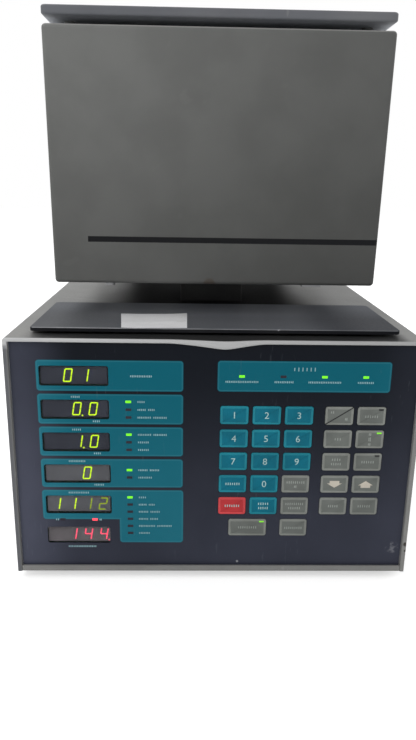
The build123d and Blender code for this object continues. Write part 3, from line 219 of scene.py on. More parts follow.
coat_node("rubber_feet", moulded_material("black_foot_rubber", srgb(34, 34, 35), 0.75, 0.6))

# Lift frame, carriage, posts, screw and motor: milled castings, ground shafts and plated steel.
# Screws through the pan hold the frame, and the carriage is pressed on the posts.


def vector_calc(tree, operation, a, b=(0, 0, 0), c=(0, 0, 0)):
    """The result of one Vector Math node."""
    return put(tree, "ShaderNodeVectorMath", {0: a, 1: b, 2: c}, operation=operation).outputs[0]


milled, take, give = new_group("milled_metal", [("Metal", "Color"), ("Dull", "Float"),
                                                ("Lay", "Vector"), ("Depth", "Float")], FINISH)
place = object_place(milled)
lines = noise(milled, vector_calc(milled, "MULTIPLY", place, take["Lay"]), 1.0, 3.0)
stain = fade(milled, noise(milled, place, 22.0, 4.0), 0.35, 0.7, 1.0, 0.86)
level = times(milled, stain, fade(milled, lines, 0.3, 0.7, 0.93, 1.05))
milled.links.new(scaled(milled, take["Metal"], level), give["Color"])
sheen = fade(milled, lines, 0.25, 0.75, -0.07, 0.09)
milled.links.new(calc(milled, "ADD", take["Dull"], sheen), give["Roughness"])
milled.links.new(bumpy(milled, lines, take["Depth"], 0.00006), give["Normal"])


def metal_material(name, metal, dull, lay, depth, **constants):
    """A bare or plated metal, with its machining lines drawn out along one axis."""
    material, tree, shader = new_material(name, Metallic=1.0, **constants)
    wire(tree, shader, place_group(tree, milled, Metal=metal, Dull=dull, Lay=lay, Depth=depth))
    return material


casting = metal_material("milled_casting", srgb(186, 188, 189), 0.42, (60.0, 900.0, 900.0), 0.35)
ground = metal_material("ground_shaft", srgb(206, 208, 210), 0.2, (1400.0, 1400.0, 60.0), 0.15)
zinc = metal_material("zinc_plate", srgb(176, 180, 184), 0.38, (260.0, 260.0, 260.0), 0.2)
coat_node("lift_frame", casting)
coat_node("lift_carriage", casting)
coat_node("lift_posts", ground)
coat_node("lead_screw", ground)
coat_node("lift_motor", zinc)

# Transformer and boards: a varnished core and coil, and green glass-epoxy boards.
# The transformer stands on its foot plate, and the boards on short standoffs.
coat_node("transformer", moulded_material("varnished_core", srgb(92, 84, 74), 0.5, 0.5))
board, tree, shader = new_material("green_board", Coat_Weight=0.3)
finish = place_group(tree, moulded, Stock=srgb(28, 92, 52), Dull=0.4, Grain=0.3)
wire(tree, shader, finish)
tracks = put(tree, "ShaderNodeTexBrick", {"Vector": object_place(tree), "Scale": 320.0,
                                          "Mortar Size": 0.06, "Mortar": srgb(70, 140, 84),
                                          "Color1": srgb(30, 98, 56), "Color2": srgb(22, 80, 46)})
feed(tree, shader, "Base Color", mix(tree, 0.4, finish["Color"], tracks.outputs["Color"]))
coat_node("circuit_boards", board)

# Steel panel behind the film: plated sheet, screwed to the case behind the hem.
# It backs the film, and has openings for the keys, lamps and displays.
coat_node("front_panel", zinc)

# Displays: six smoked panes over seven-segment modules, five green and one red, behind the film.
# The modules are soldered to the display board, and the digits slant as such modules do.
film_front = -0.1895
pane_front = -0.1890
pane_back = -0.1877
module_face = -0.1875
window_x = -0.10855
window_zs = [0.17480, 0.14775, 0.12070, 0.09365, 0.06660]
window_wide, window_tall, pane_lap = 0.0527, 0.0159, 0.0012
red_window = (-0.10925, 0.03930, 0.0509, 0.0147)
module_wide, module_tall = 0.0503, 0.0136
digit_tall, digit_wide, stroke = 0.0109, 0.0064, 0.0010
point_radius, segment_thick, segment_gap = 0.00068, 0.00006, 0.35 * stroke
slant = 0.176


def slab(bm, centre, size, turn=Matrix.Identity(4)):
    """A plain box of a size about its centre, turned if asked. It gives the corners."""
    place = Matrix.Translation(centre) @ turn @ Matrix.Diagonal((*size, 1))
    return bmesh.ops.create_cube(bm, size=1.0, matrix=place)["verts"]


def in_order(picked):
    """Picked geometry without repeats, in the same order each time."""
    return list(dict.fromkeys(picked))


def block(bm, x, z, wide, tall, front, back, corner=0.0, ease=0.0):
    """A block with its face to the front, its upright corners rounded and its front edge eased."""
    made = slab(bm, (x, (front + back) / 2, z), (wide, back - front, tall))
    if corner:
        deep = in_order(e for v in made for e in v.link_edges
                        if abs(e.verts[0].co.y - e.verts[1].co.y) > 1e-6)
        bmesh.ops.bevel(bm, geom=deep, offset=corner, segments=5, profile=0.5, affect="EDGES",
                        material=-1)
    face = min(bm.faces, key=lambda f: (f.calc_center_median() - Vector((x, front, z))).length)
    if ease:
        bmesh.ops.bevel(bm, geom=list(face.edges), offset=ease, segments=2, profile=0.5, affect="EDGES",
                        material=-1)
        face = min(bm.faces, key=lambda f: (f.calc_center_median() - Vector((x, front, z))).length)
    return face


def keep_piece(bm, name, materials, body):
    """Turns a finished bmesh into a named piece that rides on a CAD body."""
    mesh = bpy.data.meshes.new(name)
    bm.to_mesh(mesh)
    bm.free()
    for material in materials:
        mesh.materials.append(material)
    piece = bpy.data.objects.new(name, mesh)
    bpy.context.scene.collection.objects.link(piece)
    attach(piece, body)
    return piece


to_front = Matrix.Rotation(math.radians(90), 4, "X")


def segment(bm, x, z, along, wide):
    """One lit bar of a digit, slanted with it, about the module's middle height."""
    lean = Matrix(((1, 0, slant, 0), (0, 1, 0, 0), (0, 0, 1, 0), (0, 0, 0, 1)))
    size = (wide, segment_thick, stroke, 1) if along == "x" else (stroke, segment_thick, wide, 1)
    place = lean @ Matrix.Translation((x, 0, z)) @ Matrix.Diagonal(size)
    return bmesh.ops.create_cube(bm, size=1.0, matrix=place)["verts"]


def digit(bm, right, middle, shape, point=False):
    """A seven-segment digit whose slanted cell ends at the given right edge."""
    made = []
    half_wide, quarter = (digit_wide - stroke) / 2, (digit_tall - stroke) / 4
    bars = {"a": (0, 2 * quarter, "x"), "g": (0, 0, "x"), "d": (0, -2 * quarter, "x"),
            "f": (-half_wide, quarter, "z"), "b": (half_wide, quarter, "z"),
            "e": (-half_wide, -quarter, "z"), "c": (half_wide, -quarter, "z")}
    for bar in shape:
        x, z, along = bars[bar]
        made += segment(bm, x, z, along, 2 * (half_wide if along == "x" else quarter) - segment_gap)
    if point:
        dot = Matrix.Translation((half_wide + 0.0014, 0, -digit_tall / 2)) @ to_front
        made += bmesh.ops.create_cone(bm, cap_ends=True, segments=14, radius1=point_radius,
                                      radius2=point_radius, depth=segment_thick, matrix=dot)["verts"]
    centre = right - slant * digit_tall / 2 - digit_wide / 2
    bmesh.ops.translate(bm, verts=made, vec=(centre, module_face - 0.00004, middle))


shapes = {"0": "abcdef", "1": "bc", "2": "abged", "4": "fgbc"}
green_digits = [(0, -0.1090, "0", False), (0, -0.0965, "1", False), (1, -0.1031, "0", True),
                (1, -0.0905, "0", False), (2, -0.1031, "1", True), (2, -0.0905, "0", False),
                (3, -0.0969, "0", False), (4, -0.1225, "1", False), (4, -0.1100, "1", False)]
dim_digits = [(4, -0.0975, "1", False), (4, -0.0850, "2", False)]
red_digits = [(5, -0.1103, "1", False), (5, -0.0977, "4", False), (5, -0.0851, "4", True)]

smoke, tree, shader = new_material("smoked_acrylic", Alpha=0.30, IOR=1.49, Specular_IOR_Level=0.25)
wire(tree, shader, place_group(tree, moulded, Stock=srgb(40, 41, 47), Dull=0.12, Grain=0.0))
# The module stocks are paler than bare epoxy, as painted light that makes up for the shade of the panes and
# the cavity; the lower two green windows and the red one are paler still
module_stocks = [moulded_material("module_epoxy", srgb(94, 100, 118), 0.6, 0.0),
                 moulded_material("module_epoxy_painted_paler", srgb(178, 180, 186), 0.6, 0.0),
                 moulded_material("red_module_epoxy", srgb(202, 194, 197), 0.6, 0.0)]


def glow_material(name, colour, strength):
    """A lit lens or segment, whose brightness varies a little over it."""
    material, tree, shader = new_material(name, Roughness=0.4, Emission_Strength=strength)
    lit = scaled(tree, colour[:3], varied(tree, object_place(tree), 900.0, 1.0, 0.85, 1.1))
    for label in ("Emission Color", "Base Color"):
        feed(tree, shader, label, lit)
    return material


panes = bmesh.new()
modules = bmesh.new()
board_front = -0.1785
windows = [(window_x, z, window_wide, window_tall) for z in window_zs] + [red_window]
for i, (x, z, wide, tall) in enumerate(windows):
    block(panes, x, z, wide + pane_lap, tall + pane_lap, pane_front, pane_back, 0.0008)
    known = set(modules.faces)
    block(modules, x, z, module_wide, module_tall, module_face, board_front, 0.0006)
    for made in set(modules.faces) - known:
        made.material_index = (0, 0, 0, 1, 1, 2)[i]
display_panes = keep_piece(panes, "display_panes", [smoke], "console")
display_modules = keep_piece(modules, "display_modules", module_stocks, "console")
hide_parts("led_displays")

for name, places, glow in (
        ("display_green_digits", green_digits, glow_material("green_segments", srgb(200, 240, 10), 2.0)),
        ("display_dim_digits", dim_digits, glow_material("dim_segments", srgb(190, 220, 30), 0.8)),
        ("display_red_digits", red_digits, glow_material("red_segments", srgb(255, 84, 112), 2.2))):
    digits = bmesh.new()
    for window, right, shape, point in places:
        digit(digits, right, windows[window][1], shapes[shape], point)
    keep_piece(digits, name, [glow], "console")

# Lamps: flat rectangular lenses on black holders that stand on the board, flush with the film.
# The top of each stack and three in the row over the keys are lit green, and one unit lamp is red.
# The others show a dark lens.
lamp_x = -0.06735
lamp_wide, lamp_tall, lens_back = 0.0043, 0.0019, -0.1878
unlit_unit_lamp, red_unit_lamp = (-0.12185, 0.0533), (-0.09595, 0.0533)
lamp_stacks = [[0.15425, 0.14785, 0.14145], [0.12720, 0.12080, 0.11440], [0.09705, 0.09065],
               [0.07320, 0.06680, 0.06040, 0.05400, 0.04760, 0.04120]]
lit_lamps, dark_lamps = [], []
for heights in lamp_stacks:
    lit_lamps.append((lamp_x, heights[0]))
    dark_lamps += [(lamp_x, z) for z in heights[1:]]
top_row_z = 0.1755
lit_lamps += [(x, top_row_z) for x in (0.0199, 0.0837, 0.1156)]
dark_lamps += [(0.0518, top_row_z), unlit_unit_lamp]
lens_dark = moulded_material("dark_lens", srgb(46, 38, 50), 0.35, 0.1, Specular_IOR_Level=0.3)
lens_green = glow_material("green_lens", srgb(108, 224, 22), 0.85)
lens_red = glow_material("red_lens", srgb(255, 76, 92), 1.0)
for name, spots, lens in (("lamps_lit", lit_lamps, lens_green), ("lamps_dark", dark_lamps, lens_dark),
                          ("lamp_red", [red_unit_lamp], lens_red)):
    lenses = bmesh.new()
    for x, z in spots:
        block(lenses, x, z, lamp_wide, lamp_tall, film_front, lens_back, 0.0002)
    keep_piece(lenses, name, [lens], "console")
holders = bmesh.new()
for x, z in lit_lamps + dark_lamps + [red_unit_lamp]:
    block(holders, x, z, lamp_wide, lamp_tall, lens_back, board_front)
lamp_black = moulded_material("holder_black", srgb(24, 24, 26), 0.6, 0.2)
keep_piece(holders, "lamp_holders", [lamp_black], "console")

# Panel film: printed polyester, dark blue-grey with teal blocks, stuck to the steel panel.
# The print is on the back of the film, so that it has one even satin face.


def split_axes(tree, place):
    """The three coordinates of a place, each by itself."""
    return put(tree, "ShaderNodeSeparateXYZ", {0: place}).outputs


printed, take, give = new_group("printed_block", [("Place", "Vector"), ("Middle", "Vector"),
                                                  ("Half", "Vector"), ("Corner", "Float")],
                                [("Gap", "Float")])
away = vector_calc(printed, "SUBTRACT", take["Place"], take["Middle"])
away = vector_calc(printed, "SUBTRACT", vector_calc(printed, "ABSOLUTE", away), take["Half"])
round_off = put(printed, "ShaderNodeCombineXYZ", {0: take["Corner"], 1: -1.0, 2: take["Corner"]}).outputs[0]
away = vector_calc(printed, "ADD", away, round_off)
outside = vector_calc(printed, "MAXIMUM", away)
length = put(printed, "ShaderNodeVectorMath", {0: outside}, operation="LENGTH").outputs["Value"]
split = split_axes(printed, away)
inside = calc(printed, "MINIMUM", calc(printed, "MAXIMUM", split[0], split[2]), 0.0)
reach = calc(printed, "ADD", length, inside)
printed.links.new(calc(printed, "SUBTRACT", reach, take["Corner"]), give["Gap"])


def distance(tree, place, centre):
    """How far a place is from a fixed point."""
    return put(tree, "ShaderNodeVectorMath", {0: place, 1: centre}, operation="DISTANCE").outputs["Value"]


def spot(tree, place, centre, radius):
    """A ragged spot on the surface, for a nick or a stain."""
    wander = 0.0022
    drift = put(tree, "ShaderNodeTexNoise", {"Vector": place, "Scale": 380.0, "Detail": 3.0}).outputs["Color"]
    shifted = vector_calc(tree, "MULTIPLY_ADD", drift, (wander, wander, wander), place)
    far = distance(tree, shifted, tuple(c + wander / 2 for c in centre))
    return fade(tree, far, 0.6 * radius, radius, 1.0, 0.0)


blocks = [(-0.1370, -0.0250, z - 0.01225, z + 0.01225) for z in (0.1751, 0.1482, 0.1213, 0.0943)]
blocks += [(-0.1375, -0.0700, 0.0536, 0.0796), (-0.0760, -0.0245, 0.0326, 0.0796)]
blocks += [(0.0012, 0.1349, 0.1633, 0.1879)]
film, tree, shader = new_material("printed_film", Specular_IOR_Level=0.12)
place = object_place(tree)
gap = 1.0
for x0, x1, z0, z1 in blocks:
    outputs = place_group(tree, printed, Place=place, Middle=((x0 + x1) / 2, film_front, (z0 + z1) / 2),
                          Half=((x1 - x0) / 2, 0.01, (z1 - z0) / 2), Corner=0.0025)
    gap = calc(tree, "MINIMUM", gap, outputs["Gap"])
mask = fade(tree, gap, -0.00005, 0.00005, 1.0, 0.0)
edge = fade(tree, calc(tree, "ABSOLUTE", calc(tree, "ADD", gap, 0.0008)), 0.0002, 0.0007, 1.0, 0.0)
axes = split_axes(tree, place)
# Paler towards the bottom and both side edges, most at the left, and streaked: a painted reflection on the
# satin film, in the ground and the teal ink alike
low_painted_sheen = fade(tree, axes[2], 0.0, 0.190, 0.50, 0.0)
side_painted_sheen = calc(tree, "MAXIMUM", fade(tree, axes[0], -0.156, -0.105, 0.60, 0.0),
                 fade(tree, axes[0], 0.115, 0.156, 0.0, 0.12))
streaks = fade(tree, noise(tree, place, 11.0, 5.0), 0.25, 0.8, 0.8, 1.2)
painted_sheen = times(tree, calc(tree, "ADD", low_painted_sheen, side_painted_sheen), streaks)
ground_ink = mix(tree, painted_sheen, srgb(16, 21, 30), srgb(82, 85, 101))
teal_ink = mix(tree, times(tree, painted_sheen, 1.8), srgb(2, 100, 118), srgb(38, 120, 138))
teal_ink = mix(tree, times(tree, edge, 0.16), teal_ink, srgb(90, 160, 172))
ink = mix(tree, mask, ground_ink, teal_ink)
ink = scratched(tree, ink, 1.2, 0.12, srgb(120, 128, 136))
smudge = fade(tree, noise(tree, place, 34.0, 3.0), 0.35, 0.7, 0.30, 0.44)
wiped = times(tree, spot(tree, place, (0.1492, film_front, 0.0287), 0.0062),
              fade(tree, noise(tree, place, 330.0, 4.0), 0.44, 0.66, 0.0, 0.45))
wiped = calc(tree, "MAXIMUM", wiped, spot(tree, place, (0.0205, film_front, 0.0153), 0.0012))
feed(tree, shader, "Base Color", mix(tree, wiped, ink, srgb(150, 152, 158)))
feed(tree, shader, "Roughness", smudge)
feed(tree, shader, "Normal", bumpy(tree, noise(tree, place, 1300.0, 1.0), 0.12))
coat_node("panel_overlay", film)

# Captions: pale print beside the lamps and over the windows, as plain rows of ticks and not words.
# Each row is a run of short ticks in groups, a tenth of a millimetre or less proud of the film.
ink_proud, ink_thick, tick_wide, tick_step, word_left = 0.00004, 0.00003, 0.00072, 0.0013, -0.0606
ink_front = film_front - ink_proud


def ticks(bm, left, right, z, tall=0.0016, step=tick_step, front=ink_front, skip=()):
    """A row of short ticks between two places, standing for one line of print."""
    count = max(2, int((right - left) / step))
    for i in range(count):
        if i in skip:
            continue
        x = left + (i + 0.5) * (right - left) / count
        slab(bm, (x, front, z), (tick_wide, ink_thick, tall if i % 3 else 0.86 * tall))


captions = [(-0.0658, -0.0488, 0.1749), (-0.1115, -0.1042, 0.1581), (-0.0953, -0.0893, 0.1382),
            (-0.1115, -0.1042, 0.1312), (-0.0953, -0.0893, 0.1113), (-0.1152, -0.1018, 0.1046),
            (-0.0957, -0.0877, 0.0843), (-0.1164, -0.0998, 0.0773), (-0.1184, -0.0954, 0.0289),
            (-0.1277, -0.1247, 0.0533), (-0.0925, -0.0905, 0.0533)]
captions += [(left, right, top_row_z - 0.0043)
             for left, right in ((0.0070, 0.0328), (0.0447, 0.0599), (0.0709, 0.0967), (0.1091, 0.1220))]
word_widths = [0.0062, 0.0138, 0.0231, 0.0231, 0.0090, 0.0090, 0.0170, 0.0112, 0.0064, 0.0134, 0.0174, 0.0158,
               0.0270, 0.0092]
print_rows = bmesh.new()
for left, right, z in captions:
    ticks(print_rows, left, right, z)
for z, wide in zip([z for heights in lamp_stacks for z in heights], word_widths):
    break_at = (int(wide / tick_step / 2),) if wide > 0.012 else ()
    ticks(print_rows, word_left, word_left + wide, z, skip=break_at)
ticks(print_rows, 0.0585, 0.0774, 0.1815, 0.0030, 0.0028)
pale_ink = moulded_material("pale_ink", srgb(150, 190, 196), 0.5, 0.1)
keep_piece(print_rows, "panel_print", [pale_ink], "console")

# Keys: moulded caps whose border is set off by a groove, in openings of the film, over their switches.
# The number side is teal with one red key, and the others are grey.
cap_front, rim_front, rim_back, stem_back = -0.1899, -0.18735, -0.18655, -0.1841
key_wide, key_tall, key_corner, stem_radius = 0.0220, 0.0149, 0.0018, 0.0020
key_pitch, rim_lap, mark_wide, mark_tall = 0.01946, 0.0022, 0.0038, 0.0013
border_wide, groove_wide, groove_deep = 0.0011, 0.0003, 0.00015
number_xs, side_xs = (0.0149, 0.0402, 0.0655), (0.0970, 0.1223)
key_zs = [0.14410 - key_pitch * i for i in range(6)]
number_names = (("1", "2", "3"), ("4", "5", "6"), ("7", "8", "9"), ("enter", "0", "program"),
                ("cancel", "lamp_test", "program_input"))
side_names = (("units", "night"), ("calibrate", "mode"), ("time_left", "purge"), ("down", "up"),
              ("hold", "start"))
keys = []
for rows, xs in ((number_names, number_xs), (side_names, side_xs)):
    keys += [(name, x, z, key_wide) for names, z in zip(rows, key_zs) for name, x in zip(names, xs)]
keys += [("on_off", 0.0279, key_zs[5], 0.0307), ("override", number_xs[2], key_zs[5], key_wide)]


def key_skin(name, border, middle):
    """The paler border and the middle of one colour of key."""
    return [moulded_material(name + "_border", border, 0.36, 0.15, Specular_IOR_Level=0.2),
            moulded_material(name + "_middle", middle, 0.42, 0.25, Specular_IOR_Level=0.15)]


grey_skin = key_skin("grey_key", srgb(138, 141, 136), srgb(114, 118, 114))
teal_skin = key_skin("teal_key", srgb(30, 134, 152), srgb(10, 112, 134))
red_skin = key_skin("red_key", srgb(214, 76, 80), srgb(192, 58, 62))
key_ink = moulded_material("key_ink", srgb(176, 208, 206), 0.5, 0.1)
faint_ink = moulded_material("faint_key_ink", srgb(158, 164, 158), 0.5, 0.1)
arrow_ink = moulded_material("arrow_ink", srgb(206, 198, 184), 0.5, 0.1)
line_ink = moulded_material("line_ink", srgb(22, 24, 26), 0.4, 0.1)
mark_green = glow_material("green_mark", srgb(112, 196, 40), 0.8)
legend_front = cap_front - ink_proud


def flat_arrow(bm, x, z, up):
    """A broad arrow with a short stem, printed on a key."""
    way = 1 if up else -1
    head_wide, head_tall, head_rise = 0.0120, 0.0038, 0.0011
    stem_wide, stem_tall, stem_drop = 0.0078, 0.0022, 0.0019
    for corner in slab(bm, (x, legend_front, z + way * head_rise), (head_wide, ink_thick, head_tall)):
        if way * (corner.co.z - z) > head_rise:
            corner.co.x = x
    slab(bm, (x, legend_front, z - way * stem_drop), (stem_wide, ink_thick, stem_tall))
    bmesh.ops.remove_doubles(bm, verts=bm.verts, dist=0.000001)


def numeral(bm, text, x, z, tall):
    """A printed numeral, taken from a text outline and laid on a key's face."""
    outline = bpy.data.curves.new("numeral_outline", "FONT")
    outline.body = text
    outline.extrude = 0.004
    letter = bpy.data.objects.new("numeral_outline", outline)
    start = len(bm.verts)
    bm.from_mesh(bpy.data.meshes.new_from_object(letter))
    bpy.data.objects.remove(letter)
    bm.verts.ensure_lookup_table()
    verts = bm.verts[start:]
    lows = [min(v.co[i] for v in verts) for i in range(2)]
    highs = [max(v.co[i] for v in verts) for i in range(2)]
    size = tall / (highs[1] - lows[1])
    centre = Matrix.Translation((-(lows[0] + highs[0]) / 2, -(lows[1] + highs[1]) / 2, 0))
    place = Matrix.Translation((x, legend_front, z)) @ to_front
    bmesh.ops.transform(bm, matrix=place @ Matrix.Scale(size, 4) @ centre, verts=verts)


word_rows = {"enter": [(0, 0.0122)], "program": [(0.0015, 0.0152), (-0.0022, 0.0022)],
             "cancel": [(0, 0.0126)], "lamp_test": [(0.0019, 0.0092), (-0.0019, 0.0086)],
             "program_input": [(0.0019, 0.0152), (-0.0019, 0.0104)], "night": [(-0.0004, 0.0110)],
             "calibrate": [(0, 0.0060)], "time_left": [(0.0020, 0.0078), (-0.0018, 0.0086)],
             "purge": [(0, 0.0108)], "hold": [(0, 0.0086)], "start": [(0, 0.0108)],
             "on_off": [(0, 0.0158)], "override": [(-0.0004, 0.0150)]}
for name, x, z, wide in keys:
    skin = teal_skin if name in "0123456789" or name in ("enter", "lamp_test") else grey_skin
    if name == "cancel":
        skin = red_skin
    cap = bmesh.new()
    face = block(cap, x, z, wide, key_tall, cap_front, rim_front, key_corner, 0.00025)
    for thickness, depth in ((border_wide, 0.0), (groove_wide, -groove_deep), (groove_wide, groove_deep)):
        bmesh.ops.inset_region(cap, faces=[face], thickness=thickness, depth=depth, use_even_offset=True)
    face.material_index = 1
    block(cap, x, z, wide + rim_lap, key_tall + rim_lap, rim_front, rim_back, key_corner)
    across = Matrix.Translation((x, (rim_back + stem_back) / 2, z)) @ to_front
    bmesh.ops.create_cone(cap, cap_ends=True, segments=24, radius1=stem_radius, radius2=stem_radius,
                          depth=stem_back - rim_back, matrix=across)
    body = "press_key_" + name
    key_cap = keep_piece(cap, "cap_" + name, skin, body)
    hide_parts("key_" + name)
    legend, legend_ink = bmesh.new(), [faint_ink if skin is grey_skin else key_ink]
    if name in "0123456789":
        numeral(legend, name, x, z, 0.0054)
    elif name in ("up", "down"):
        flat_arrow(legend, x, z, name == "up")
        legend_ink = [arrow_ink]
    elif name == "mode":
        for rise, tall in ((0.0042, 0.0022), (0, 0.0034), (-0.0042, 0.0022)):
            ticks(legend, x - 0.0011, x + 0.0011, z + rise, tall, 0.0011, legend_front)
    elif name == "units":
        up, along = key_tall - 0.0012, wide - 0.0012
        slab(legend, (x, legend_front, z), (math.hypot(up, along), ink_thick, 0.0009),
             Matrix.Rotation(-math.atan2(up, along), 4, "Y"))
        for made in legend.faces:
            made.material_index = 1
        ticks(legend, x - 0.0072, x - 0.0040, z + 0.0030, 0.0020, 0.0015, legend_front)
        ticks(legend, x + 0.0044, x + 0.0066, z - 0.0026, 0.0022, 0.0011, legend_front)
        legend_ink = [faint_ink, line_ink]
    else:
        for rise, long in word_rows[name]:
            ticks(legend, x - long / 2, x + long / 2, z + rise, 0.0021, 0.0016, legend_front)
    keep_piece(legend, "legend_" + name, legend_ink, body)
    if name in ("night", "mode", "purge", "on_off"):
        mark = bmesh.new()
        block(mark, x + wide / 2 - mark_wide, z + 0.0053, mark_wide, mark_tall, legend_front - 0.00006,
              legend_front + 0.00004, 0.0003)
        ink = mark_green if name in ("mode", "on_off") else line_ink
        keep_piece(mark, "mark_" + name, [ink], body)

# Console case: 1.2 mm sheet folded over the top and both sides, with a hem round its front.
# Flush screws hold it to the pan and the rear panel. The top hem has been knocked in over the keypad.
dent_middle, dent_left, dent_right = 0.007, 0.043, 0.030
hem_low, hem_high, hem_back = 0.2016, 0.2046, -0.1890
dent_low, dent_top, dent_end = 0.0047, 0.0013, -0.1700
case_front, tip_round, tip_flat, flank_power, slack = -0.1925, 0.006, 0.005, 1.6, 0.0002
case = bmesh.new()
case.from_mesh(nodes["console_case"].data)
bmesh.ops.remove_doubles(case, verts=case.verts, dist=0.000001)


def top_front(bm):
    """The geometry of the case's top near its front hem, where the dent is cut in."""
    faces = [f for f in bm.faces
             if max(v.co.z for v in f.verts) > 0.2003 and min(v.co.y for v in f.verts) < -0.165]
    return in_order(v for f in faces for v in f.verts) + in_order(e for f in faces for e in f.edges) + faces


cut_count = 56
cuts = [((dent_middle - dent_left + i * (dent_left + dent_right) / (cut_count - 1), 0, 0), (1, 0, 0))
        for i in range(cut_count)]
cuts += [((0, y, 0), (0, 1, 0)) for y in (-0.1886, -0.1865, -0.184, -0.181, -0.178, -0.174, dent_end)]
for place, way in cuts:
    bmesh.ops.bisect_plane(case, geom=top_front(case), plane_co=place, plane_no=way, dist=0.0000001)


def smooth_step(value):
    """A smooth rise from 0 to 1."""
    value = min(max(value, 0.0), 1.0)
    return value * value * (3 - 2 * value)


for vert in case.verts:
    x, y, z = vert.co
    if z < hem_low - slack or y > dent_end:
        continue
    reach = dent_left if x < dent_middle else dent_right
    depth = max(1 - (math.hypot(x - dent_middle, tip_round) - tip_flat) / reach, 0.0) ** flank_power
    if depth <= 0:
        continue
    if y <= hem_back + slack:
        rise = min(max((z - hem_low) / (hem_high - hem_low), 0), 1)
        vert.co.z -= depth * (dent_low + (dent_top - dent_low) * rise)
        vert.co.y = min(y, film_front - 0.0001) if z < hem_high - 0.0015 and depth > 0.02 else y
    else:
        vert.co.z -= depth * dent_top * smooth_step((dent_end - y) / (dent_end - hem_back))
for face in case.faces:
    face.smooth = True
for edge in case.edges:
    edge.smooth = len(edge.link_faces) == 2 and edge.calc_face_angle() < math.radians(28)

case_wear_and_painted_light, tree, shader, painted = enamelled("case_enamel_wear_and_painted_light", srgb(140, 140, 138), 0.38, 0.25, 0.10,
                                              Coat_Roughness=0.2, Specular_IOR_Level=0.3)
place = object_place(tree)
nicks = calc(tree, "MAXIMUM", spot(tree, place, (0.1590, case_front, 0.033), 0.0022),
             spot(tree, place, (0.1596, case_front + 0.0005, 0.027), 0.0016))
axes = split_axes(tree, place)

# A painted highlight along the front of the hem, paler to the left
hem_painted_highlight = times(tree, fade(tree, axes[1], case_front + 0.0003, case_front + 0.0017, 1.0, 0.0),
               fade(tree, axes[2], hem_low - 0.0065, hem_low - 0.0040),
               fade(tree, axes[0], -0.15, 0.15, 0.80, 0.45))

# Painted shadow: the plate's on the top in front of it, and the head's in the gap on both sides of the
# pedestal
plate_painted_shadow = times(tree, fade(tree, axes[1], case_front + 0.0010, case_front + 0.0020),
                    fade(tree, axes[1], -0.1700, -0.1650, 1.0, 0.0),
                    fade(tree, axes[2], hem_low - 0.0040, hem_low - 0.0030),
                    fade(tree, axes[0], -0.1500, -0.1300, 0.0, 0.92),
                    fade(tree, axes[0], 0.1400, 0.1500, 1.0, 0.0))
head_painted_shadow = times(tree, fade(tree, axes[0], -0.108, -0.060), fade(tree, axes[0], 0.0600, 0.1020, 1.0, 0.0),
              fade(tree, axes[1], -0.0760, -0.0700, 0.0, 0.96),
              fade(tree, axes[2], hem_high - 0.0006, hem_high - 0.0003))
painted_shadows = calc(tree, "MAXIMUM", head_painted_shadow, plate_painted_shadow)

# Painted shade, dark blue-grey, on the face of the left hem
left_hem_painted_shade = times(tree, fade(tree, axes[1], hem_back, hem_back + 0.0010, 1.0, 0.0),
              fade(tree, axes[0], -0.1580, -0.1560, 0.62, 0.0),
              fade(tree, axes[2], hem_low - 0.004, hem_low - 0.001, 1.0, 0.0))
shade = scratched(tree, painted["Color"], 0.35, 0.4, srgb(190, 190, 188))
shade = mix(tree, painted_shadows, shade, srgb(22, 23, 25))
shade = mix(tree, left_hem_painted_shade, mix(tree, hem_painted_highlight, shade, srgb(214, 215, 216)), srgb(62, 66, 80))
feed(tree, shader, "Base Color", mix(tree, nicks, shade, srgb(58, 52, 48)))
feed(tree, shader, "Coat Weight", fade(tree, painted_shadows, 0.0, 1.0, 0.15, 0.0))
feed(tree, shader, "Roughness", calc(tree, "ADD", painted["Roughness"], times(tree, head_painted_shadow, 0.5)))
dented_case = keep_piece(case, "dented_case", [case_wear_and_painted_light], "console")
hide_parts("console_case")

# Rear fittings: a rear sheet with vents, a mains inlet with its rocker, a fan and the vacuum valve.
# Each is screwed or snapped into the rear sheet, and the valve's brass spigot takes the pump hose.
nylon = moulded_material("black_nylon", srgb(30, 31, 33), 0.55, 0.5)
coat_node("rear_panel", case_paint)
coat_node("power_entry_module", nylon)
coat_node("power_rocker", moulded_material("rocker_nylon", srgb(36, 37, 39), 0.32, 0.2))
coat_node("cooling_fan_frame", nylon)
coat_node("fan_rotor", nylon)
valve, tree, shader = new_material("valve_brass")
body_finish = place_group(tree, moulded, Stock=srgb(34, 34, 37), Dull=0.5, Grain=0.3)
brass = place_group(tree, milled, Metal=srgb(196, 164, 96), Dull=0.3, Lay=(500.0, 900.0, 500.0), Depth=0.3)
outer = fade(tree, split_axes(tree, object_place(tree))[1], 0.1640, 0.1644)
feed(tree, shader, "Base Color", mix(tree, outer, body_finish["Color"], brass["Color"]))
feed(tree, shader, "Metallic", outer)
feed(tree, shader, "Roughness", fade(tree, outer, 0.0, 1.0, 0.5, 0.3))
feed(tree, shader, "Normal", brass["Normal"])
coat_node("vacuum_port", valve)

# Console fasteners: plated cross-recessed screws, nuts and plate spacers.
# They hold the feet, case, rear sheet, plate, pedestal, lift frame and fan. The spacers under the plate are
# coloured near-black as painted shade.
fastener_plate, tree, shader = new_material("fastener_plate", Metallic=1.0)
finish = place_group(tree, milled, Metal=srgb(168, 170, 172), Dull=0.34, Lay=(900.0, 900.0, 900.0),
                     Depth=0.2)
wire(tree, shader, finish)
axes = split_axes(tree, object_place(tree))
# Near-black on the spacers in the gap under the plate: painted shade
spacer_painted_shade = times(tree, fade(tree, axes[2], 0.20455, 0.20460), fade(tree, axes[2], 0.20662, 0.20668, 1.0, 0.0),
               fade(tree, axes[1], -0.0600, -0.0590, 1.0, 0.0))
feed(tree, shader, "Base Color", mix(tree, spacer_painted_shade, finish["Color"], srgb(24, 24, 26)))
coat_node("console_fasteners", fastener_plate)
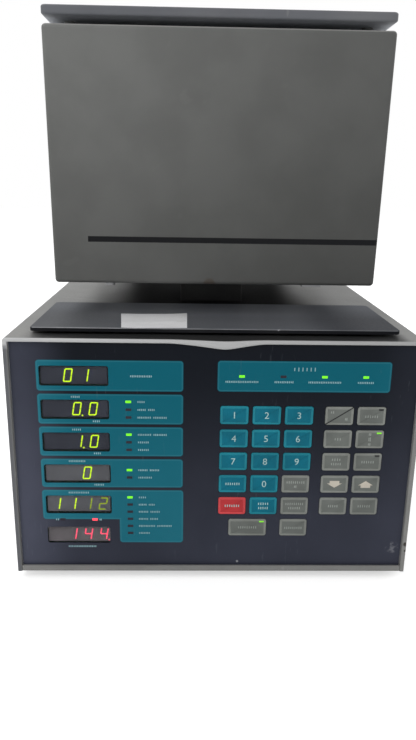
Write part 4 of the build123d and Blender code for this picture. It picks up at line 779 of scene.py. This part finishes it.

# Work plate: 3 mm plate with a dark coating, on four spacers over the front of the console.
# Trays have left long fine scratches on it. Its pale front edge is a painted highlight, its paler left a
# painted reflection, and its paler rear and middle painted light under the head.
plate_front, plate_top = -0.1770, 0.2096
plate_coat, tree, shader, painted = enamelled("plate_coat_wear_and_painted_light", srgb(34, 35, 39), 0.45, 0.35, 0.05,
                                              Specular_IOR_Level=0.05)
place = object_place(tree)
axes = split_axes(tree, place)
top_side = fade(tree, axes[2], 0.20915, 0.20925)
# Paler and patchy over the left third of the top: a painted reflection
left_painted_reflection = times(tree, fade(tree, axes[0], -0.145, -0.030, 0.75, 0.0), top_side,
            varied(tree, place, 7.0, 4.0, 0.55, 1.15))
# The top paler towards the rear, palest in the middle under the head: painted light in the head's shade
rear_painted_light = times(tree, fade(tree, axes[1], -0.140, -0.078, 0.26, 0.95), top_side)
middle_painted_light = times(tree, fade(tree, axes[0], -0.120, -0.080), fade(tree, axes[0], 0.060, 0.100, 1.0, 0.0))
painted_light_tone = mix(tree, middle_painted_light, srgb(118, 122, 130), srgb(172, 176, 184))
shade = mix(tree, left_painted_reflection, mix(tree, rear_painted_light, painted["Color"], painted_light_tone), srgb(112, 114, 117))
shade = scratched(tree, shade, 0.15, times(tree, top_side, 0.5), srgb(118, 120, 122))
# A painted highlight along the front edge of the top, fading to the right, with one real nick at the front
edge_highlight_and_nick = times(tree, fade(tree, axes[1], plate_front + 0.0004, plate_front + 0.0012, 1.0, 0.0),
                 fade(tree, axes[0], -0.145, 0.120, 0.85, 0.30), top_side,
                 fade(tree, noise(tree, place, 60.0, 4.0), 0.3, 0.6, 0.6, 1.0))
edge_highlight_and_nick = calc(tree, "MAXIMUM", edge_highlight_and_nick, spot(tree, place, (0.0482, plate_front, 0.2094), 0.0010))
feed(tree, shader, "Base Color", mix(tree, edge_highlight_and_nick, shade, srgb(176, 177, 180)))
coat_node("work_plate", plate_coat)

# Paper label: a plain white label lying on the plate, up to its front edge.
# It is blank, slightly turned, and lifted by its creases.
label_corners = [(-0.0729, -0.1768), (-0.0225, -0.1743), (-0.0785, -0.1230), (-0.0230, -0.1196)]
paper_thick, paper_lift = 0.0001, 0.00015
paper = bmesh.new()
bmesh.ops.create_grid(paper, x_segments=28, y_segments=28, size=0.5)
for vert in paper.verts:
    u, v = vert.co.x + 0.5, vert.co.y + 0.5
    near = [label_corners[0][i] * (1 - u) + label_corners[1][i] * u for i in (0, 1)]
    far = [label_corners[2][i] * (1 - u) + label_corners[3][i] * u for i in (0, 1)]
    crease = 0.0005 * max(0.0, 1 - abs(v - 0.36 - 0.05 * u) / 0.12)
    curl = 0.0010 * max(0.0, u + v - 1.6) ** 2 * 4 + 0.0006 * max(0.0, 0.2 - u) * 3
    x, y = (near[i] * (1 - v) + far[i] * v for i in (0, 1))
    vert.co = (x, y, plate_top + paper_lift + crease + curl)
bmesh.ops.solidify(paper, geom=list(paper.faces), thickness=paper_thick)
bmesh.ops.recalc_face_normals(paper, faces=paper.faces)
label_paper, tree, shader = new_material("label_paper", Sheen_Weight=0.1)
place = object_place(tree)
fibre = varied(tree, place, 900.0, 3.0, 0.95, 1.02)
grime = fade(tree, noise(tree, place, 45.0, 4.0), 0.5, 0.75, 0.0, 0.25)
shade = scaled(tree, srgb(250, 250, 252)[:3], fibre)
feed(tree, shader, "Base Color", mix(tree, grime, shade, srgb(186, 182, 176)))
feed(tree, shader, "Roughness", fade(tree, fibre, 0.94, 1.03, 0.85, 0.7))
feed(tree, shader, "Normal", bumpy(tree, noise(tree, place, 160.0, 3.0), 0.3, 0.0003))
keep_piece(paper, "paper_label", [label_paper], "console")

# Pedestal, platform, seal and firing table: a black square tube, screwed to the case, under a steel disc.
# The silicone ring lies in its groove, and the refractory plug and tray lift out by hand.
coat_node("pedestal", enamelled("black_pedestal_enamel", srgb(28, 28, 30), 0.45, 0.4, 0.15)[0])
chamber_y = 0.0030


def tinted_steel(name, metal, inner, outer):
    """Brushed stainless steel, with a straw heat tint round the middle of the chamber."""
    material, tree, shader = new_material(name, Metallic=1.0)
    steel = place_group(tree, milled, Metal=metal, Dull=0.3, Lay=(60.0, 1100.0, 1100.0), Depth=0.25)
    wire(tree, shader, steel)
    flat = vector_calc(tree, "MULTIPLY", object_place(tree), (1, 1, 0))
    tint = fade(tree, distance(tree, flat, (0, chamber_y, 0)), inner, outer, 0.55, 0.0)
    feed(tree, shader, "Base Color", mix(tree, tint, steel["Color"], srgb(170, 140, 88)))
    return material


coat_node("firing_platform", tinted_steel("platform_steel", srgb(182, 183, 184), 0.045, 0.062))
coat_node("seal_ring", moulded_material("red_silicone", srgb(168, 74, 52), 0.55, 0.3))
coat_node("firing_table", moulded_material("pressed_fibre", srgb(222, 214, 196), 0.9, 0.9))

# Head base plate: the head's steel floor with the muffle's mouth, flange screws and rubber buffer.
# It closes the shell from below and carries the chamber and the two posts.
coat_node("head_base_plate", tinted_steel("base_plate_steel", srgb(150, 151, 153), 0.047, 0.070))

# Chamber, insulation, muffle, element and thermocouple: the hot parts, inside the head.
# The fibre jacket fills the welded steel chamber, and the grooved ceramic tube holds the wire.
coat_node("vacuum_chamber", tinted_steel("chamber_steel", srgb(176, 177, 178), 0.020, 0.090))
coat_node("muffle_insulation", moulded_material("ceramic_fibre", srgb(230, 225, 212), 0.95, 1.0))
sintered = moulded_material("sintered_alumina", srgb(232, 226, 214), 0.7, 0.5)
coat_node("heating_muffle", sintered)
coat_node("thermocouple", sintered)
wire_metal = metal_material("oxidised_wire", srgb(112, 104, 96), 0.6, (800.0, 800.0, 800.0), 0.4)
coat_node("heating_element", wire_metal)

# Head shell: folded sheet in mid-grey enamel, with one black printed stripe across its leaning front.
# Its places for a name and a sign are bare. It is screwed to the base plate.
stripe_low, stripe_high, stripe_left, head_front = 0.2709, 0.2753, -0.1018, -0.1370
head_low, head_high = 0.2378, 0.4268
head_paint, tree, shader, painted = enamelled("grey_head_enamel", srgb(120, 121, 119), 0.45, 0.3, 0.0,
                                              Specular_IOR_Level=0.2)
place = object_place(tree)
axes = split_axes(tree, place)
soft, ripple_tall = 0.00006, 0.00005
ripple = times(tree, varied(tree, place, 700.0, 1.0, -0.5, 0.5), ripple_tall)
rise = calc(tree, "ADD", axes[2], ripple)
band = times(tree, fade(tree, rise, stripe_low - soft, stripe_low + soft),
             fade(tree, rise, stripe_high - soft, stripe_high + soft, 1.0, 0.0),
             fade(tree, axes[0], stripe_left - soft, stripe_left + soft),
             fade(tree, axes[1], head_front + 0.0020, head_front + 0.0024, 1.0, 0.0))
shade = scratched(tree, painted["Color"], 0.1, 0.15, srgb(140, 140, 138))
stain = times(tree, spot(tree, place, (-0.0050, head_front, head_low), 0.0060), 0.5)
shade = mix(tree, stain, shade, srgb(96, 74, 58))
# Darker towards the bottom and the right: painted shade
head_painted_shade = times(tree, fade(tree, axes[2], head_low, head_high, 0.64, 1.0),
             fade(tree, axes[0], -0.1300, 0.1300, 1.0, 0.66))
# A painted highlight along the top fold of the front
fold_painted_highlight = times(tree, fade(tree, axes[2], head_high - 0.0016, head_high - 0.0008, 0.0, 0.5),
                  fade(tree, axes[1], head_front, head_front + 0.0050, 1.0, 0.0))
shade = mix(tree, fold_painted_highlight, scaled(tree, shade, head_painted_shade), srgb(190, 190, 188))
feed(tree, shader, "Base Color", mix(tree, band, shade, srgb(16, 17, 21)))
coat_node("head_shell", head_paint)

# Head lid: a flat cover with a low turned-down edge, on four studs clear of the shell.
# It has the shell's enamel without the stripe, dustier because it lies flat, and is painted pale inside as
# painted light.
lid_paint, tree, shader, painted = enamelled("grey_lid_enamel", srgb(108, 110, 115), 0.45, 0.3, 0.15,
                                             Specular_IOR_Level=0.2)
axes = split_axes(tree, object_place(tree))
# The underside painted pale: painted light in the shade of the narrow gap over the shell
underside_painted_light = times(tree, fade(tree, axes[1], -0.1440, -0.1280), fade(tree, axes[2], 0.4326, 0.4330, 1.0, 0.0))
shade = scratched(tree, painted["Color"], 0.6, 0.3, srgb(150, 150, 148))
feed(tree, shader, "Base Color", mix(tree, underside_painted_light, shade, srgb(206, 210, 218)))
coat_node("head_lid", lid_paint)

# Stage: a pale floor, a white surround that only shows behind the furnace, and soft lamps.
# The camera stands where the photograph was taken from.


def seen_share(tree):
    """One for rays that look at the white surround, and nothing for those that light the furnace."""
    path = put(tree, "ShaderNodeLightPath").outputs
    return calc(tree, "MAXIMUM", path["Is Camera Ray"], path["Is Transmission Ray"])


floor_mesh = bmesh.new()
bmesh.ops.create_grid(floor_mesh, x_segments=2, y_segments=2, size=6.0)
mesh = bpy.data.meshes.new("bench_floor")
floor_mesh.to_mesh(mesh)
floor_mesh.free()
bench_floor = bpy.data.objects.new("bench_floor", mesh)
bpy.context.scene.collection.objects.link(bench_floor)
floor_paint, tree, shader = new_material("pale_floor", Roughness=0.9, Specular_IOR_Level=0.1)
cloudy = varied(tree, object_place(tree), 3.0, 2.0, 0.0, 1.0)
feed(tree, shader, "Base Color", mix(tree, cloudy, (0.86, 0.86, 0.86, 1), (0.90, 0.90, 0.90, 1)))
shader.inputs["Emission Color"].default_value = (1, 1, 1, 1)
feed(tree, shader, "Emission Strength", times(tree, seen_share(tree), 0.55))
mesh.materials.append(floor_paint)

scene = bpy.context.scene
world = bpy.data.worlds.new("white_surround")
world.use_nodes = True
scene.world = world
tree = world.node_tree
backdrop = tree.nodes["Background"]
backdrop.inputs["Color"].default_value = (1, 1, 1, 1)
tree.links.new(fade(tree, seen_share(tree), 0.0, 1.0, 0.55, 1.0), backdrop.inputs["Strength"])


def soft_lamp(name, place, aim, size, power):
    """A square soft lamp turned towards a point."""
    light = bpy.data.lights.new(name, "AREA")
    light.shape, light.size, light.energy = "SQUARE", size, power
    lamp = bpy.data.objects.new(name, light)
    lamp.location = place
    lamp.rotation_euler = (Vector(aim) - Vector(place)).to_track_quat("-Z", "Y").to_euler()
    bpy.context.scene.collection.objects.link(lamp)


lamp_aim = (0, 0, 0.25)
soft_lamp("key_lamp", (-1.1, -1.5, 1.9), lamp_aim, 1.4, 16.0)
soft_lamp("top_lamp", (-0.5, 0.9, 2.0), lamp_aim, 1.6, 14.0)
soft_lamp("rim_lamp", (1.6, 0.4, 1.2), lamp_aim, 1.2, 6.0)

yaw, pitch, roll = 0.0271, 0.2815, 0.0166
camera_place = (-0.0194645, -0.6769738, 0.3214668)
forward = Vector((math.sin(yaw) * math.cos(pitch), math.cos(yaw) * math.cos(pitch), -math.sin(pitch)))
right = Vector((math.cos(yaw), -math.sin(yaw), 0))
upward = right.cross(forward)
across = math.cos(roll) * right + math.sin(roll) * upward
upright = -math.sin(roll) * right + math.cos(roll) * upward
camera_data = bpy.data.cameras.new("photo_camera")
camera_data.sensor_fit = "AUTO"
camera_data.sensor_width = 36.0
camera_data.lens = 32.406
camera = bpy.data.objects.new("photo_camera", camera_data)
pose = Matrix((across, upright, -forward)).transposed().to_4x4()
camera.matrix_world = Matrix.Translation(camera_place) @ pose
scene.collection.objects.link(camera)
scene.camera = camera
scene.view_settings.view_transform = "Standard"
